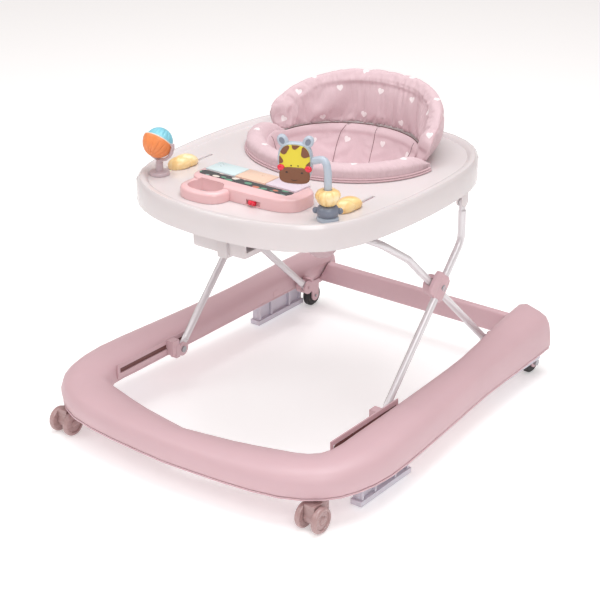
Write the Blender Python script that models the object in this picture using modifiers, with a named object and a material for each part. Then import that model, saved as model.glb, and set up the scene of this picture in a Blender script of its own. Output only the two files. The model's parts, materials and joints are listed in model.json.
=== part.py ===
"""A folding baby walker: horseshoe base on casters, scissor of bent steel tubes, play tray and padded seat.

Metres, +Z up, standing on z = 0. The origin is the middle of the walker's length and width, on the floor.
The child faces -Y, so the front is -Y and the child's left hand is +X.
"""

import math

import bmesh
import bpy
from mathutils import Matrix, Vector

# ---------------------------------------------------------------- driving dimensions
GAP = 0.0003  # between pieces that touch
WALL = 0.0028  # moulded shells

# Base. Each row is one cut across the horseshoe: outer edge (x, y), inner edge (x, y), height of its crown
# near the outer and near the inner edge, and how far across the inner wall's foot is.
SKIRT_Z = 0.052
INNER_FOOT_Z = 0.068
INNER_X = 0.218
ARM_END_Y = 0.3475
BASE_ROWS = [
    (0.000, -0.3590, 0.0000, -0.302, 0.094, 0.0905, 1.00),
    (0.110, -0.3525, 0.0850, -0.286, 0.094, 0.0905, 1.00),
    (0.205, -0.3370, 0.1500, -0.268, 0.095, 0.0910, 1.00),
    (0.262, -0.3030, 0.1965, -0.2555, 0.096, 0.0925, 1.00),
    (0.290, -0.2560, 0.2174, -0.2300, 0.098, 0.0945, 1.00),
    (0.302, -0.1850, INNER_X, -0.175, 0.099, 0.0960, 1.00),
    (0.296, -0.0800, INNER_X, -0.080, 0.100, 0.0980, 1.00),
    (0.286, 0.0300, INNER_X, 0.030, 0.101, 0.1010, 1.00),
    (0.277, 0.1300, INNER_X, 0.130, 0.104, 0.1060, 1.00),
    (0.273, 0.2350, 0.2095, 0.232, 0.109, 0.1150, 0.88),
    (0.271, 0.2900, 0.2030, 0.286, 0.111, 0.1180, 0.80),
    (0.268, ARM_END_Y, 0.1970, ARM_END_Y, 0.112, 0.1190, 0.75),
]
FLARE, FLARE_END_Y = 0.055, -0.05  # how far the front skirt leans out, as a share of the section's width
ARM_END_ROUND = 0.014
CROSSBAR = dict(half=(0.2190, 0.1976), y=(0.332, 0.347), z=(0.057, 0.0965))

# Wheels and brake pads
WHEEL_R = 0.021
CASTER_X, CASTER_STEM_Y, CASTER_TRAIL = 0.250, -0.294, -0.018
CASTER_DISC_OFFSET, CASTER_DISC_W = 0.0152, 0.0105
STEM_R, STEM_TOP_Z = 0.004, 0.074
REAR_WHEEL_X, REAR_WHEEL_Y, REAR_TYRE_W = 0.238, 0.338, 0.013
PAD_LENGTH, PAD_WIDTH = 0.134, 0.020
PAD_Z, PAD_SOLE_H, PAD_LIFT = 0.007, 0.009, 0.032
PAD_XY = {"front": (0.268, -0.161), "rear": (0.256, 0.255)}
PADS_DOWN = ("front_left", "rear_right")
PAD_WEB, PAD_WEB_TOP = 0.007, 0.058
PAD_RIB_HALF, PAD_RIB_TOP = 0.0085, 0.0495

# Scissor legs, as (y, z) seen from the side
TUBE_R = 0.0061
SLIDER_PIVOT = (-0.075, 0.0735)
REAR_PIVOT = (0.263, 0.0730)
CROSS_PIVOT = (0.0827, 0.2406)
TRAY_PIVOT = (0.1410, 0.3700)
UPRIGHT_BEND = (0.1416, 0.3030)
FRAME_BEND = (0.0080, 0.3100)
FRAME_TOP = (-0.0780, 0.3660)
UPRIGHT_X, FRAME_X = 0.2080, 0.1950
TAB_T, TAB_W, TAB_REACH = 0.005, 0.013, 0.024
COVER_BACK = 0.0001  # the covers' open faces, just clear of the middle plane between the tubes
PIN_R, PIN_HOLE_R, PIN_HEAD_R, PIN_HEAD_H = 0.0030, 0.0034, 0.0055, 0.0018
RAIL_Y, RAIL_Z, RAIL_SLOT_Z = (-0.2225, -0.044), (0.0705, 0.0960), (0.0790, 0.0880)

# Tray: outline rows (x, y) of half the rim, front to rear
TRAY_Z, RIM_Z, TRAY_SKIRT_Z = 0.4205, 0.4265, 0.386
TRAY_ROWS = [
    (0.000, -0.2580),
    (0.072, -0.2515),
    (0.135, -0.2310),
    (0.184, -0.1950),
    (0.210, -0.1400),
    (0.222, -0.0600),
    (0.226, 0.0250),
    (0.2215, 0.1150),
    (0.2070, 0.1830),
    (0.168, 0.2440),
    (0.110, 0.2760),
    (0.050, 0.2830),
    (0.000, 0.2840),
]
SEAT_CENTRE_Y = 0.105
SEAT_HOLE = (0.136, 0.122)
ADJUSTER = dict(x=(-0.058, 0.046), y=(-0.210, -0.066), z=(0.342, 0.4165))

# Seat
RING_OUTER, RING_INNER = (0.166, 0.146), (0.126, 0.112)
BACK_OUTER, BACK_REACH = (0.166, 0.158), math.radians(86)
BACK_Z, BACK_TOP_Z, BACK_T = 0.4290, 0.520, 0.030
SLING_TOP, SLING_FLOOR = (0.124, 0.110), (0.056, 0.056)
SLING_TOP_Z, SLING_FLOOR_Z, LEG_HOLE_R = 0.417, 0.310, 0.029

# Toys
PANEL_CENTRE, PANEL_HALF, PANEL_TOP_Z = (0.009, -0.143), (0.103, 0.043), 0.441
KEY_RISE = 0.0022
TOY_X, TOY_Y = 0.1645, -0.160
GLOBE_R, GLOBE_Z, GLOBE_LEAN = 0.0250, 0.474, math.radians(48)
BEAD_SLOT_X, BEAD_SLOT_Y = 0.160, (-0.122, -0.036)

SIDES = (("left", 1), ("right", -1))

# ---------------------------------------------------------------- scene and materials
for old in list(bpy.data.objects):
    bpy.data.objects.remove(old, do_unlink=True)


def new_collection(name):
    made = bpy.data.collections.new(name)
    bpy.context.scene.collection.children.link(made)
    return made


PARTS = new_collection("baby_walker")
CUTTERS = new_collection("cutters")


def new_material(name, colour, roughness, metallic=0.0):
    made = bpy.data.materials.new(name)
    made.use_nodes = True
    shader = made.node_tree.nodes["Principled BSDF"]
    shader.inputs["Base Color"].default_value = (*colour, 1.0)
    shader.inputs["Roughness"].default_value = roughness
    shader.inputs["Metallic"].default_value = metallic
    return made


PINK = new_material("pink_plastic", (0.72, 0.42, 0.42), 0.38)
WHITE = new_material("white_plastic", (0.85, 0.80, 0.79), 0.22)
LILAC = new_material("lilac_plastic", (0.70, 0.69, 0.75), 0.35)
TUBE_PAINT = new_material("tube_paint", (0.70, 0.68, 0.68), 0.28, 0.3)
STEEL = new_material("steel", (0.55, 0.55, 0.56), 0.3, 1.0)
RUBBER = new_material("black_rubber", (0.02, 0.02, 0.02), 0.6)
FABRIC = new_material("pink_fabric", (0.70, 0.43, 0.42), 0.85)
RED = new_material("red_plastic", (0.75, 0.03, 0.06), 0.3)
ORANGE = new_material("orange_plastic", (0.85, 0.32, 0.09), 0.35)
BLUE = new_material("blue_plastic", (0.30, 0.62, 0.75), 0.35)
PEACH = new_material("peach_plastic", (0.82, 0.58, 0.46), 0.35)
SKY = new_material("pale_blue_plastic", (0.65, 0.75, 0.77), 0.35)
YELLOW = new_material("yellow_plastic", (0.86, 0.66, 0.30), 0.35)
GREY_BLUE = new_material("grey_blue_plastic", (0.45, 0.50, 0.60), 0.35)


# ---------------------------------------------------------------- modelling helpers
def add_object(name, mesh, material, collection=PARTS):
    made = bpy.data.objects.new(name, mesh)
    collection.objects.link(made)
    if collection is CUTTERS:
        made.hide_render = True
        made.display_type = "WIRE"
    if material:
        mesh.materials.clear()
        mesh.materials.append(material)
    return made


def from_bmesh(name, bm, material, collection=PARTS, smooth=True):
    bmesh.ops.recalc_face_normals(bm, faces=bm.faces)
    mesh = bpy.data.meshes.new(name)
    bm.to_mesh(mesh)
    bm.free()
    if smooth:
        mesh.shade_smooth()
        mesh.set_sharp_from_angle(angle=math.radians(35))
    return add_object(name, mesh, material, collection)


def box(name, x, y, z, material=None, collection=PARTS, bevel=0.0):
    bm = bmesh.new()
    size = Matrix.Diagonal((x[1] - x[0], y[1] - y[0], z[1] - z[0], 1.0))
    middle = Matrix.Translation(((x[0] + x[1]) / 2, (y[0] + y[1]) / 2, (z[0] + z[1]) / 2))
    bmesh.ops.create_cube(bm, size=1.0, matrix=middle @ size)
    made = from_bmesh(name, bm, material, collection, smooth=False)
    if bevel:
        round_edges(made, bevel)
    return made


def round_edges(made, width, segments=2):
    rounding = made.modifiers.new("rounding", "BEVEL")
    rounding.width = width
    rounding.segments = segments
    rounding.limit_method = "ANGLE"
    rounding.angle_limit = math.radians(40)


def rod(name, start, end, radius, material=None, collection=PARTS, sides=16, end_radius=None):
    """A cylinder, or a cone, from start to end."""
    start, end = Vector(start), Vector(end)
    bm = bmesh.new()
    turn = (end - start).to_track_quat("Z", "Y").to_matrix().to_4x4()
    bmesh.ops.create_cone(
        bm,
        cap_ends=True,
        segments=sides,
        radius1=radius,
        radius2=radius if end_radius is None else end_radius,
        depth=(end - start).length,
        matrix=Matrix.Translation((start + end) / 2) @ turn,
    )
    return from_bmesh(name, bm, material, collection)


def cutter_box(name, x, y, z):
    return box(name, x, y, z, collection=CUTTERS)


def cutter_rod(name, start, end, radius, sides=16):
    return rod(name, start, end, radius, collection=CUTTERS, sides=sides)


def combine(made, operation, others):
    if "flat faces" not in made.modifiers:
        made.modifiers.new("flat faces", "TRIANGULATE")
    for other in others:
        step = made.modifiers.new(operation.lower(), "BOOLEAN")
        step.operation = operation
        step.object = other
    return made


def join(made, *others):
    return combine(made, "UNION", others)


def cut(made, *others):
    return combine(made, "DIFFERENCE", others)


def catmull_rom(p, q, r, s, t):
    square = 2 * p - 5 * q + 4 * r - s
    cube = 3 * q - p - 3 * r + s
    return 0.5 * (2 * q + (r - p) * t + square * t**2 + cube * t**3)


def smooth_rows(rows, per):
    """Catmull-Rom rows through the given rows, with per steps between two of them."""
    padded = [rows[0]] + list(rows) + [rows[-1]]
    result = []
    for i in range(len(rows) - 1):
        around = padded[i : i + 4]
        for step in range(per):
            result.append(tuple(catmull_rom(*values, step / per) for values in zip(*around)))
    result.append(tuple(rows[-1]))
    return result


def loft(bm, sections, closed=True, cap=False):
    """Quads between rows of points. A closed section joins its last point to its first."""
    rows = [[bm.verts.new(point) for point in section] for section in sections]
    count = len(rows[0])
    for one, two in zip(rows, rows[1:]):
        for i in range(count if closed else count - 1):
            j = (i + 1) % count
            bm.faces.new((one[i], one[j], two[j], two[i]))
    if cap:
        bm.faces.new(rows[0])
        bm.faces.new(reversed(rows[-1]))
    return rows


def mirror(made):
    copy = made.modifiers.new("other side", "MIRROR")
    copy.use_axis = (True, False, False)
    copy.merge_threshold = 0.00001
    return made


def thicken(made, thickness, offset):
    wall = made.modifiers.new("wall", "SOLIDIFY")
    wall.thickness = thickness
    wall.offset = offset
    return made


def rounded_path(points, radius, steps=5):
    """The points of a bent tube's centre line: straight runs, with an arc at each corner."""
    points = [Vector(point) for point in points]
    result = [points[0]]
    for before, corner, after in zip(points, points[1:], points[2:]):
        to_before, to_after = (before - corner).normalized(), (after - corner).normalized()
        half = to_before.angle(to_after) / 2
        reach = radius / math.tan(half)
        middle = corner + (to_before + to_after).normalized() * (radius / math.sin(half))
        first, last = corner + to_before * reach - middle, corner + to_after * reach - middle
        for step in range(steps + 1):
            result.append(middle + first.slerp(last, step / steps) * radius)
    result.append(points[-1])
    return result


def tube(name, path, radius, material=None, collection=PARTS, resolution=4):
    """A round bar along the path, as a welded mesh."""
    curve = bpy.data.curves.new(name, "CURVE")
    curve.dimensions = "3D"
    curve.bevel_depth = radius
    curve.bevel_resolution = resolution
    curve.use_fill_caps = True
    spline = curve.splines.new("POLY")
    spline.points.add(len(path) - 1)
    for point, place in zip(spline.points, path):
        point.co = (*place, 1.0)
    guide = bpy.data.objects.new(name + "_guide", curve)
    PARTS.objects.link(guide)
    bpy.context.view_layer.update()
    graph = bpy.context.evaluated_depsgraph_get()
    mesh = bpy.data.meshes.new_from_object(guide.evaluated_get(graph))
    bpy.data.objects.remove(guide)
    bm = bmesh.new()
    bm.from_mesh(mesh)
    bmesh.ops.remove_doubles(bm, verts=bm.verts, dist=0.00001)
    bpy.data.meshes.remove(mesh)
    return from_bmesh(name, bm, material, collection)


def turned(name, profile, material, place=(0, 0, 0), axis="Z", steps=24, collection=PARTS):
    """A profile of (radius, height) points, top to bottom on its outer side, turned about an axis."""
    bm = bmesh.new()
    verts = [bm.verts.new((r, 0, h)) for r, h in profile]
    for one, two in zip(verts, verts[1:]):
        bm.edges.new((one, two))
    if profile[0][0] > 0:
        bm.edges.new((verts[-1], verts[0]))
    mesh = bpy.data.meshes.new(name)
    bm.to_mesh(mesh)
    bm.free()
    made = add_object(name, mesh, material, collection)
    made.location = place
    if axis == "X":
        made.rotation_euler = (0, math.pi / 2, 0)
    screw = made.modifiers.new("turn", "SCREW")
    screw.steps = steps
    screw.render_steps = steps
    screw.use_merge_vertices = True
    screw.merge_threshold = 0.00001
    return made


def ellipse(centre_y, size, z, count, start=0.0, sweep=2 * math.pi, power=2.0):
    """Points round an ellipse or, with a higher power, a rounded rectangle. Angle 0 is the rear, +Y."""
    points = []
    for i in range(count):
        angle = start + sweep * i / count
        c, s = math.cos(angle), math.sin(angle)
        x = math.copysign(abs(s) ** (2 / power), s) * size[0]
        y = math.copysign(abs(c) ** (2 / power), c) * size[1]
        points.append(Vector((x, centre_y + y, z)))
    return points


# ---------------------------------------------------------------- base
def base_stations():
    """Cuts across half the horseshoe: (outer, inner, outer crown, inner crown, foot), to its round end."""
    stations = [(Vector(r[0:2]), Vector(r[2:4]), r[4], r[5], r[6]) for r in smooth_rows(BASE_ROWS, 2)]
    outer, inner, crown, rise, foot = stations[-1]
    for angle in (30, 60, 85):
        a = math.radians(angle)
        back = Vector((0, ARM_END_ROUND * math.sin(a)))
        pinch = Vector((0.010 * (1 - math.cos(a)), 0))
        drop = 0.012 * (1 - math.cos(a))
        stations.append(
            (outer + back - pinch, inner + back + 0.3 * pinch, crown - drop, rise - drop, foot)
        )
    return stations


def across(outer, inner, t, z):
    at = outer.lerp(inner, t)
    return Vector((max(at.x, 0.0), at.y, z))


def upper_section(outer, inner, crown, rise, foot):
    """From the skirt's foot over the crown to the inner wall's foot."""
    flare = FLARE * min(1.0, max(0.0, (FLARE_END_Y - outer.y) / 0.15))
    points = [(0.0, SKIRT_Z), (0.004 - 0.8 * flare, 0.063)]
    for angle in (0, 30, 55, 90):
        a = math.radians(angle)
        across_by = 0.34 + flare
        points.append(
            (0.012 - flare + across_by * (1 - math.cos(a)), 0.074 + (crown - 0.074) * math.sin(a))
        )
    for angle in (0, 35, 65, 90):
        a = math.radians(angle)
        points.append((0.72 + 0.28 * math.sin(a), rise - 0.020 * (1 - math.cos(a))))
    points.append((foot, INNER_FOOT_Z))
    return [across(outer, inner, t, z) for t, z in points]


def base_upper_shell():
    stations = base_stations()
    bm = bmesh.new()
    rows = loft(bm, [upper_section(*station) for station in stations], closed=False)
    bm.faces.new(rows[-1])
    made = from_bmesh("base_upper_shell", bm, PINK)
    mirror(made)
    thicken(made, WALL, -1.0)
    return made


def lower_plate_z(t):
    return SKIRT_Z - GAP + max(0.0, t - 0.05) / 0.95 * (INNER_FOOT_Z - SKIRT_Z)


def base_lower_shell():
    sections = []
    for outer, inner, _, _, foot in base_stations()[:-3]:
        top = [(t * foot, lower_plate_z(t)) for t in (-0.014, 0.05, 1.0)]
        under = [(t, z - WALL) for t, z in reversed(top)]
        sections.append([across(outer, inner, t, z) for t, z in top + under])
    bm = bmesh.new()
    rows = loft(bm, sections)
    bm.faces.new(rows[-1])
    made = mirror(from_bmesh("base_lower_shell", bm, PINK))
    bosses, bores = [], []
    for side, sign in SIDES:
        x = sign * CASTER_X
        boss = cutter_rod(
            f"stem_boss_{side}", (x, CASTER_STEM_Y, 0.0470), (x, CASTER_STEM_Y, 0.0780), 0.0088
        )
        bore = cutter_rod(
            f"stem_bore_{side}", (x, CASTER_STEM_Y, 0.0300), (x, CASTER_STEM_Y, 0.0770), 0.0045
        )
        x = sign * REAR_WHEEL_X
        seat = cutter_box(
            f"wheel_seat_{side}",
            (x - 0.016, x + 0.016),
            (REAR_WHEEL_Y - 0.0155, REAR_WHEEL_Y + 0.0125),
            (0.0480, 0.0575),
        )
        bosses += [boss, seat]
        bores.append(bore)
        for end, (pad_x, y) in PAD_XY.items():
            half, reach = PAD_RIB_HALF + 0.0006, PAD_LENGTH / 2 - 0.0034
            x = (sign * pad_x - half, sign * pad_x + half)
            bores.append(cutter_box(f"pad_slot_{side}_{end}", x, (y - reach, y + reach), (0.04, 0.07)))
    join(made, *bosses)
    cut(made, *bores)
    return made


def rear_crossbar():
    (foot, top), y, z = CROSSBAR["half"], CROSSBAR["y"], CROSSBAR["z"]
    corners = ((-foot, z[0]), (foot, z[0]), (top, z[1]), (-top, z[1]))
    bm = bmesh.new()
    loft(bm, [[Vector((x, at, h)) for x, h in corners] for at in y], cap=True)
    made = from_bmesh("rear_crossbar", bm, PINK, smooth=False)
    round_edges(made, 0.004)
    return made


def slide_rail(side, sign):
    """A strip on the arm's inner wall, with the slot that the slider's shoe runs in."""
    x = sorted((sign * (INNER_X - GAP), sign * (INNER_X - 0.0026)))
    rail = box(f"slide_rail_{side}", x, RAIL_Y, RAIL_Z, PINK)
    slot = cutter_box(
        f"slot_{side}",
        (x[0] - 0.01, x[1] + 0.01),
        (RAIL_Y[0] + 0.006, RAIL_Y[1] - 0.006),
        RAIL_SLOT_Z,
    )
    return cut(rail, slot)


# ---------------------------------------------------------------- wheels and brake pads
def caster(side, sign):
    x = sign * CASTER_X
    wheel_y = CASTER_STEM_Y + CASTER_TRAIL
    half = CASTER_DISC_OFFSET - CASTER_DISC_W / 2 - 0.0006
    housing = rod(
        f"caster_housing_{side}",
        (x - half, wheel_y, WHEEL_R),
        (x + half, wheel_y, WHEEL_R),
        0.0105,
        PINK,
    )
    ends = (wheel_y - 0.0085, CASTER_STEM_Y + 0.0095)
    neck = cutter_box(f"neck_{side}", (x - half, x + half), ends, (WHEEL_R, 0.0435))
    stem = cutter_rod(f"stem_{side}", (x, CASTER_STEM_Y, 0.040), (x, CASTER_STEM_Y, STEM_TOP_Z), STEM_R)
    flange = cutter_rod(f"flange_{side}", (x, CASTER_STEM_Y, 0.040), (x, CASTER_STEM_Y, 0.0465), 0.010)
    bore = cutter_rod(
        f"axle_bore_{side}", (x - 0.03, wheel_y, WHEEL_R), (x + 0.03, wheel_y, WHEEL_R), 0.0028
    )
    join(housing, neck, flange, stem)
    cut(housing, bore)
    reach = CASTER_DISC_OFFSET + CASTER_DISC_W / 2
    rod(
        f"caster_axle_{side}",
        (x - reach + 0.004, wheel_y, WHEEL_R),
        (x + reach - 0.004, wheel_y, WHEEL_R),
        0.0025,
        STEEL,
        sides=12,
    )
    for name, out in (("outer", sign), ("inner", -sign)):
        caster_wheel(
            f"caster_wheel_{side}_{name}", (x + out * CASTER_DISC_OFFSET, wheel_y, WHEEL_R), out
        )


def caster_wheel(name, place, out):
    """A disc with a rounded tread, a dished outer face and a blind bore on its inner face."""
    w = CASTER_DISC_W / 2
    profile = [
        (0.0, w - 0.0012),
        (0.0145, w - 0.0012),
        (0.0165, w),
        (WHEEL_R - 0.0020, w - 0.0006),
        (WHEEL_R, w - 0.0030),
        (WHEEL_R, -w + 0.0015),
        (WHEEL_R - 0.0016, -w),
        (0.0028, -w),
        (0.0028, w - 0.0032),
        (0.0, w - 0.0032),
    ]
    made = turned(name, profile, PINK, place, "X", 16)
    if out < 0:
        made.rotation_euler = (0, -math.pi / 2, 0)
    return made


def rear_wheel(side, sign):
    x, y = sign * REAR_WHEEL_X, REAR_WHEEL_Y
    w = REAR_TYRE_W / 2
    tyre = [
        (0.0028, w),
        (WHEEL_R - 0.0030, w),
        (WHEEL_R, w - 0.0030),
        (WHEEL_R, -w + 0.0030),
        (WHEEL_R - 0.0030, -w),
        (0.0028, -w),
    ]
    turned(f"rear_wheel_{side}", tyre, RUBBER, (x, y, WHEEL_R), "X", 20)
    cheek = w + 0.0006
    bracket = box(
        f"rear_wheel_bracket_{side}",
        (x - cheek - 0.0028, x + cheek + 0.0028),
        (y - 0.0135, y + 0.0135),
        (0.0440, 0.0480 - GAP),
        PINK,
    )
    cheeks = []
    for tag, at in (("a", x - cheek - 0.0028), ("b", x + cheek)):
        plate = cutter_box(
            f"cheek_{side}_{tag}", (at, at + 0.0028), (y - 0.010, y + 0.010), (WHEEL_R, 0.046)
        )
        nose = cutter_rod(f"nose_{side}_{tag}", (at, y, WHEEL_R), (at + 0.0028, y, WHEEL_R), 0.010)
        cheeks += [plate, nose]
    bore = cutter_rod(f"rear_bore_{side}", (x - 0.03, y, WHEEL_R), (x + 0.03, y, WHEEL_R), 0.0028)
    join(bracket, *cheeks)
    cut(bracket, bore)
    ends = sorted((x - sign * (cheek + 0.0045), x + sign * (cheek + 0.0045)))
    axle = rod(
        f"rear_axle_{side}", (ends[0], y, WHEEL_R), (ends[1], y, WHEEL_R), 0.0025, STEEL, sides=12
    )
    outer = x + sign * (cheek + 0.0028 + GAP)
    cap = cutter_rod(f"cap_{side}", (outer, y, WHEEL_R), (outer + sign * 0.0050, y, WHEEL_R), 0.0055)
    join(axle, cap)


def brake_pad(side, sign, end):
    """A sole on a blade that slides through the base. Two of the four are pulled down, two pushed up."""
    x, y = sign * PAD_XY[end][0], PAD_XY[end][1]
    low = PAD_Z + (0.0 if f"{end}_{side}" in PADS_DOWN else PAD_LIFT)
    half = PAD_LENGTH / 2
    pad = box(
        f"brake_pad_{end}_{side}",
        (x - PAD_WIDTH / 2, x + PAD_WIDTH / 2),
        (y - half, y + half),
        (low, low + PAD_SOLE_H),
        LILAC,
    )
    blade = cutter_box(
        f"blade_{end}_{side}",
        (x - PAD_WEB / 2, x + PAD_WEB / 2),
        (y - half + 0.004, y + half - 0.004),
        (low + 0.004, low + PAD_WEB_TOP - PAD_Z),
    )
    ribs = []
    for number, share in enumerate((-0.9, -0.4, 0.4, 0.9)):
        at = y + share * half
        ribs.append(
            cutter_box(
                f"rib_{end}_{side}_{number}",
                (x - PAD_RIB_HALF, x + PAD_RIB_HALF),
                (at - 0.002, at + 0.002),
                (low + 0.004, low + PAD_RIB_TOP - PAD_Z),
            )
        )
    return join(pad, blade, *ribs)


# ---------------------------------------------------------------- scissor legs
def side_points(x, places):
    return [Vector((x, y, z)) for y, z in places]


def flat_end(tag, x, pivot, towards):
    """The pressed end of a tube: a disc round the pin and the web that runs into the tube."""
    low, high = sorted((x - TAB_T / 2, x + TAB_T / 2))
    disc = cutter_rod(f"{tag}_disc", (low, *pivot), (high, *pivot), TAB_W / 2)
    thin, narrow = 0.0002, TAB_W / 2 - 0.0004
    web = cutter_box(f"{tag}_web", (low + thin, high - thin), (0, TAB_REACH), (-narrow, narrow))
    angle = math.atan2(towards[1] - pivot[1], towards[0] - pivot[0])
    turn = Matrix.Rotation(angle, 4, "X")
    web.matrix_world = Matrix.Translation((0, *pivot)) @ turn
    return [disc, web]


def from_pivot(pivot, towards, distance):
    start, end = Vector(pivot), Vector(towards)
    return tuple(start + (end - start).normalized() * distance)


def pin_hole(tag, x, pivot, radius=PIN_HOLE_R, half=0.012):
    return cutter_rod(f"{tag}_hole", (x - half, *pivot), (x + half, *pivot), radius)


def upright_leg(side, sign):
    """The tube from the slider in the rail, through the crossing, up to the tray's rear bracket."""
    x = sign * UPRIGHT_X
    foot = from_pivot(SLIDER_PIVOT, CROSS_PIVOT, 0.018)
    head = from_pivot(TRAY_PIVOT, UPRIGHT_BEND, 0.016)
    path = rounded_path(side_points(x, [foot, UPRIGHT_BEND, head]), 0.033)
    leg = tube(f"upright_leg_{side}", path, TUBE_R, TUBE_PAINT, resolution=3)
    ends = flat_end(f"foot_{side}", x, SLIDER_PIVOT, CROSS_PIVOT)
    ends += flat_end(f"head_{side}", x, TRAY_PIVOT, UPRIGHT_BEND)
    join(leg, *ends)
    cut(
        leg,
        pin_hole(f"foot_{side}", x, SLIDER_PIVOT),
        pin_hole(f"head_{side}", x, TRAY_PIVOT),
        pin_hole(f"crossing_{side}", x, CROSS_PIVOT),
    )
    return leg


def cross_leg_frame():
    """One bent tube: from each rear bracket, through the crossings, to the bar in the tray's adjuster."""
    foot = from_pivot(REAR_PIVOT, CROSS_PIVOT, 0.018)
    half = side_points(FRAME_X, [foot, FRAME_BEND, FRAME_TOP])
    other = [Vector((-p.x, p.y, p.z)) for p in reversed(half)]
    frame = tube(
        "cross_leg_frame", rounded_path(half + other, 0.024, 4), TUBE_R, TUBE_PAINT, resolution=3
    )
    ends, holes = [], []
    for side, sign in SIDES:
        x = sign * FRAME_X
        ends += flat_end(f"frame_foot_{side}", x, REAR_PIVOT, CROSS_PIVOT)
        holes.append(pin_hole(f"frame_foot_{side}", x, REAR_PIVOT))
        holes.append(pin_hole(f"frame_crossing_{side}", x, CROSS_PIVOT))
    join(frame, *ends)
    return cut(frame, *holes)


def joint_cover(name, sign, tube_x, out, far_end, radius, depth):
    """A round cover that grips one tube of the crossing in a channel, open towards the other tube."""
    near, far = tube_x - out * (TUBE_R - COVER_BACK), tube_x + out * (TUBE_R + depth)
    cover = rod(name, (sign * near, *CROSS_PIVOT), (sign * far, *CROSS_PIVOT), radius, PINK, sides=24)
    x = sign * tube_x
    back = Vector(CROSS_PIVOT) * 2 - Vector(far_end)
    run = [from_pivot(CROSS_PIVOT, far_end, 0.03), from_pivot(CROSS_PIVOT, back, 0.03)]
    bore = TUBE_R + 0.0005
    channel = cutter_rod(f"{name}_channel", (x, *run[0]), (x, *run[1]), bore)
    open_side = sorted((0.0, -0.02 * sign * out))
    mouth = cutter_box(f"{name}_mouth", open_side, (-0.03, 0.03), (-bore, bore))
    angle = math.atan2(run[1][1] - run[0][1], run[1][0] - run[0][0])
    mouth.matrix_world = Matrix.Translation((x, *CROSS_PIVOT)) @ Matrix.Rotation(angle, 4, "X")
    hole = pin_hole(name, x, CROSS_PIVOT, PIN_HEAD_R + 0.0005)
    return cut(cover, channel, mouth, hole)


def crossing(side, sign):
    """The covers on both tubes where they cross, and the pin through both."""
    joint_cover(f"joint_cover_outer_{side}", sign, UPRIGHT_X, 1, SLIDER_PIVOT, 0.0205, 0.0024)
    joint_cover(f"joint_cover_inner_{side}", sign, FRAME_X, -1, REAR_PIVOT, 0.0170, 0.0030)
    outer_end = UPRIGHT_X + TUBE_R + 0.0004
    pin(f"joint_pin_{side}", sign, outer_end, FRAME_X - TUBE_R - 0.0026, CROSS_PIVOT)


def pin(name, sign, x_head, x_end, pivot, radius=PIN_R, head_radius=PIN_HEAD_R):
    """A pin from x_head, where its head is, to x_end."""
    out = math.copysign(1.0, x_head - x_end)
    shank = rod(
        name, (sign * (x_head + out * 0.0010), *pivot), (sign * x_end, *pivot), radius, STEEL, sides=12
    )
    tip = x_head + out * PIN_HEAD_H
    head = cutter_rod(f"{name}_head", (sign * x_head, *pivot), (sign * tip, *pivot), head_radius)
    return join(shank, head)


def clevis(name, sign, pivot, tab_x, x_range, bridge, extra, material):
    """Two round cheeks with a slot for a tube's flat end, joined by a bridge behind the pin.

    bridge is (y near the pin, y far from it); extra boxes are (x, y, z) ranges joined to it.
    """
    low, high = x_range
    gap = TAB_T / 2 + 0.0006
    body = rod(name, (sign * low, *pivot), (sign * (tab_x - gap), *pivot), 0.0120, material)
    cheek = cutter_rod(f"{name}_cheek", (sign * (tab_x + gap), *pivot), (sign * high, *pivot), 0.0120)
    pieces = [cheek]
    y = sorted((pivot[0] + bridge[0], pivot[0] + bridge[1]))
    x = sorted((sign * low, sign * high))
    pieces.append(cutter_box(f"{name}_bridge", x, y, (pivot[1] - 0.011, pivot[1] + 0.013)))
    for i, (ex, ey, ez) in enumerate(extra):
        ex = sorted((sign * ex[0], sign * ex[1]))
        pieces.append(cutter_box(f"{name}_extra_{i}", ex, ey, ez))
    join(body, *pieces)
    return body


def slider_bracket(side, sign):
    y, z = SLIDER_PIVOT
    outer = INNER_X - 0.0026 - GAP
    shoe = (
        (outer - 0.001, INNER_X - GAP - 0.0001),
        (y - 0.026, y - 0.004),
        (RAIL_SLOT_Z[0] + 0.0010, RAIL_SLOT_Z[1] - 0.0010),
    )
    nose = ((0.2016, outer - 0.0002), (y - 0.026, y - 0.010), (z - 0.004, z + 0.022))
    made = clevis(
        f"slider_bracket_{side}",
        sign,
        SLIDER_PIVOT,
        UPRIGHT_X,
        (0.2010, outer),
        (-0.0085, -0.018),
        [shoe, nose],
        PINK,
    )
    cut(made, pin_hole(f"slider_{side}", sign * UPRIGHT_X, SLIDER_PIVOT))
    pin(f"slider_pin_{side}", sign, 0.2010 - GAP, outer - 0.0006, SLIDER_PIVOT)
    return made


def rear_leg_bracket(side, sign):
    made = clevis(
        f"rear_leg_bracket_{side}", sign, REAR_PIVOT, FRAME_X, (0.1880, 0.2090), (0.0085, 0.016), [], PINK
    )
    own_pin = cutter_rod(
        f"rear_pin_{side}", (sign * 0.1865, *REAR_PIVOT), (sign * 0.2070, *REAR_PIVOT), PIN_R, 12
    )
    return join(made, own_pin)


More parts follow.
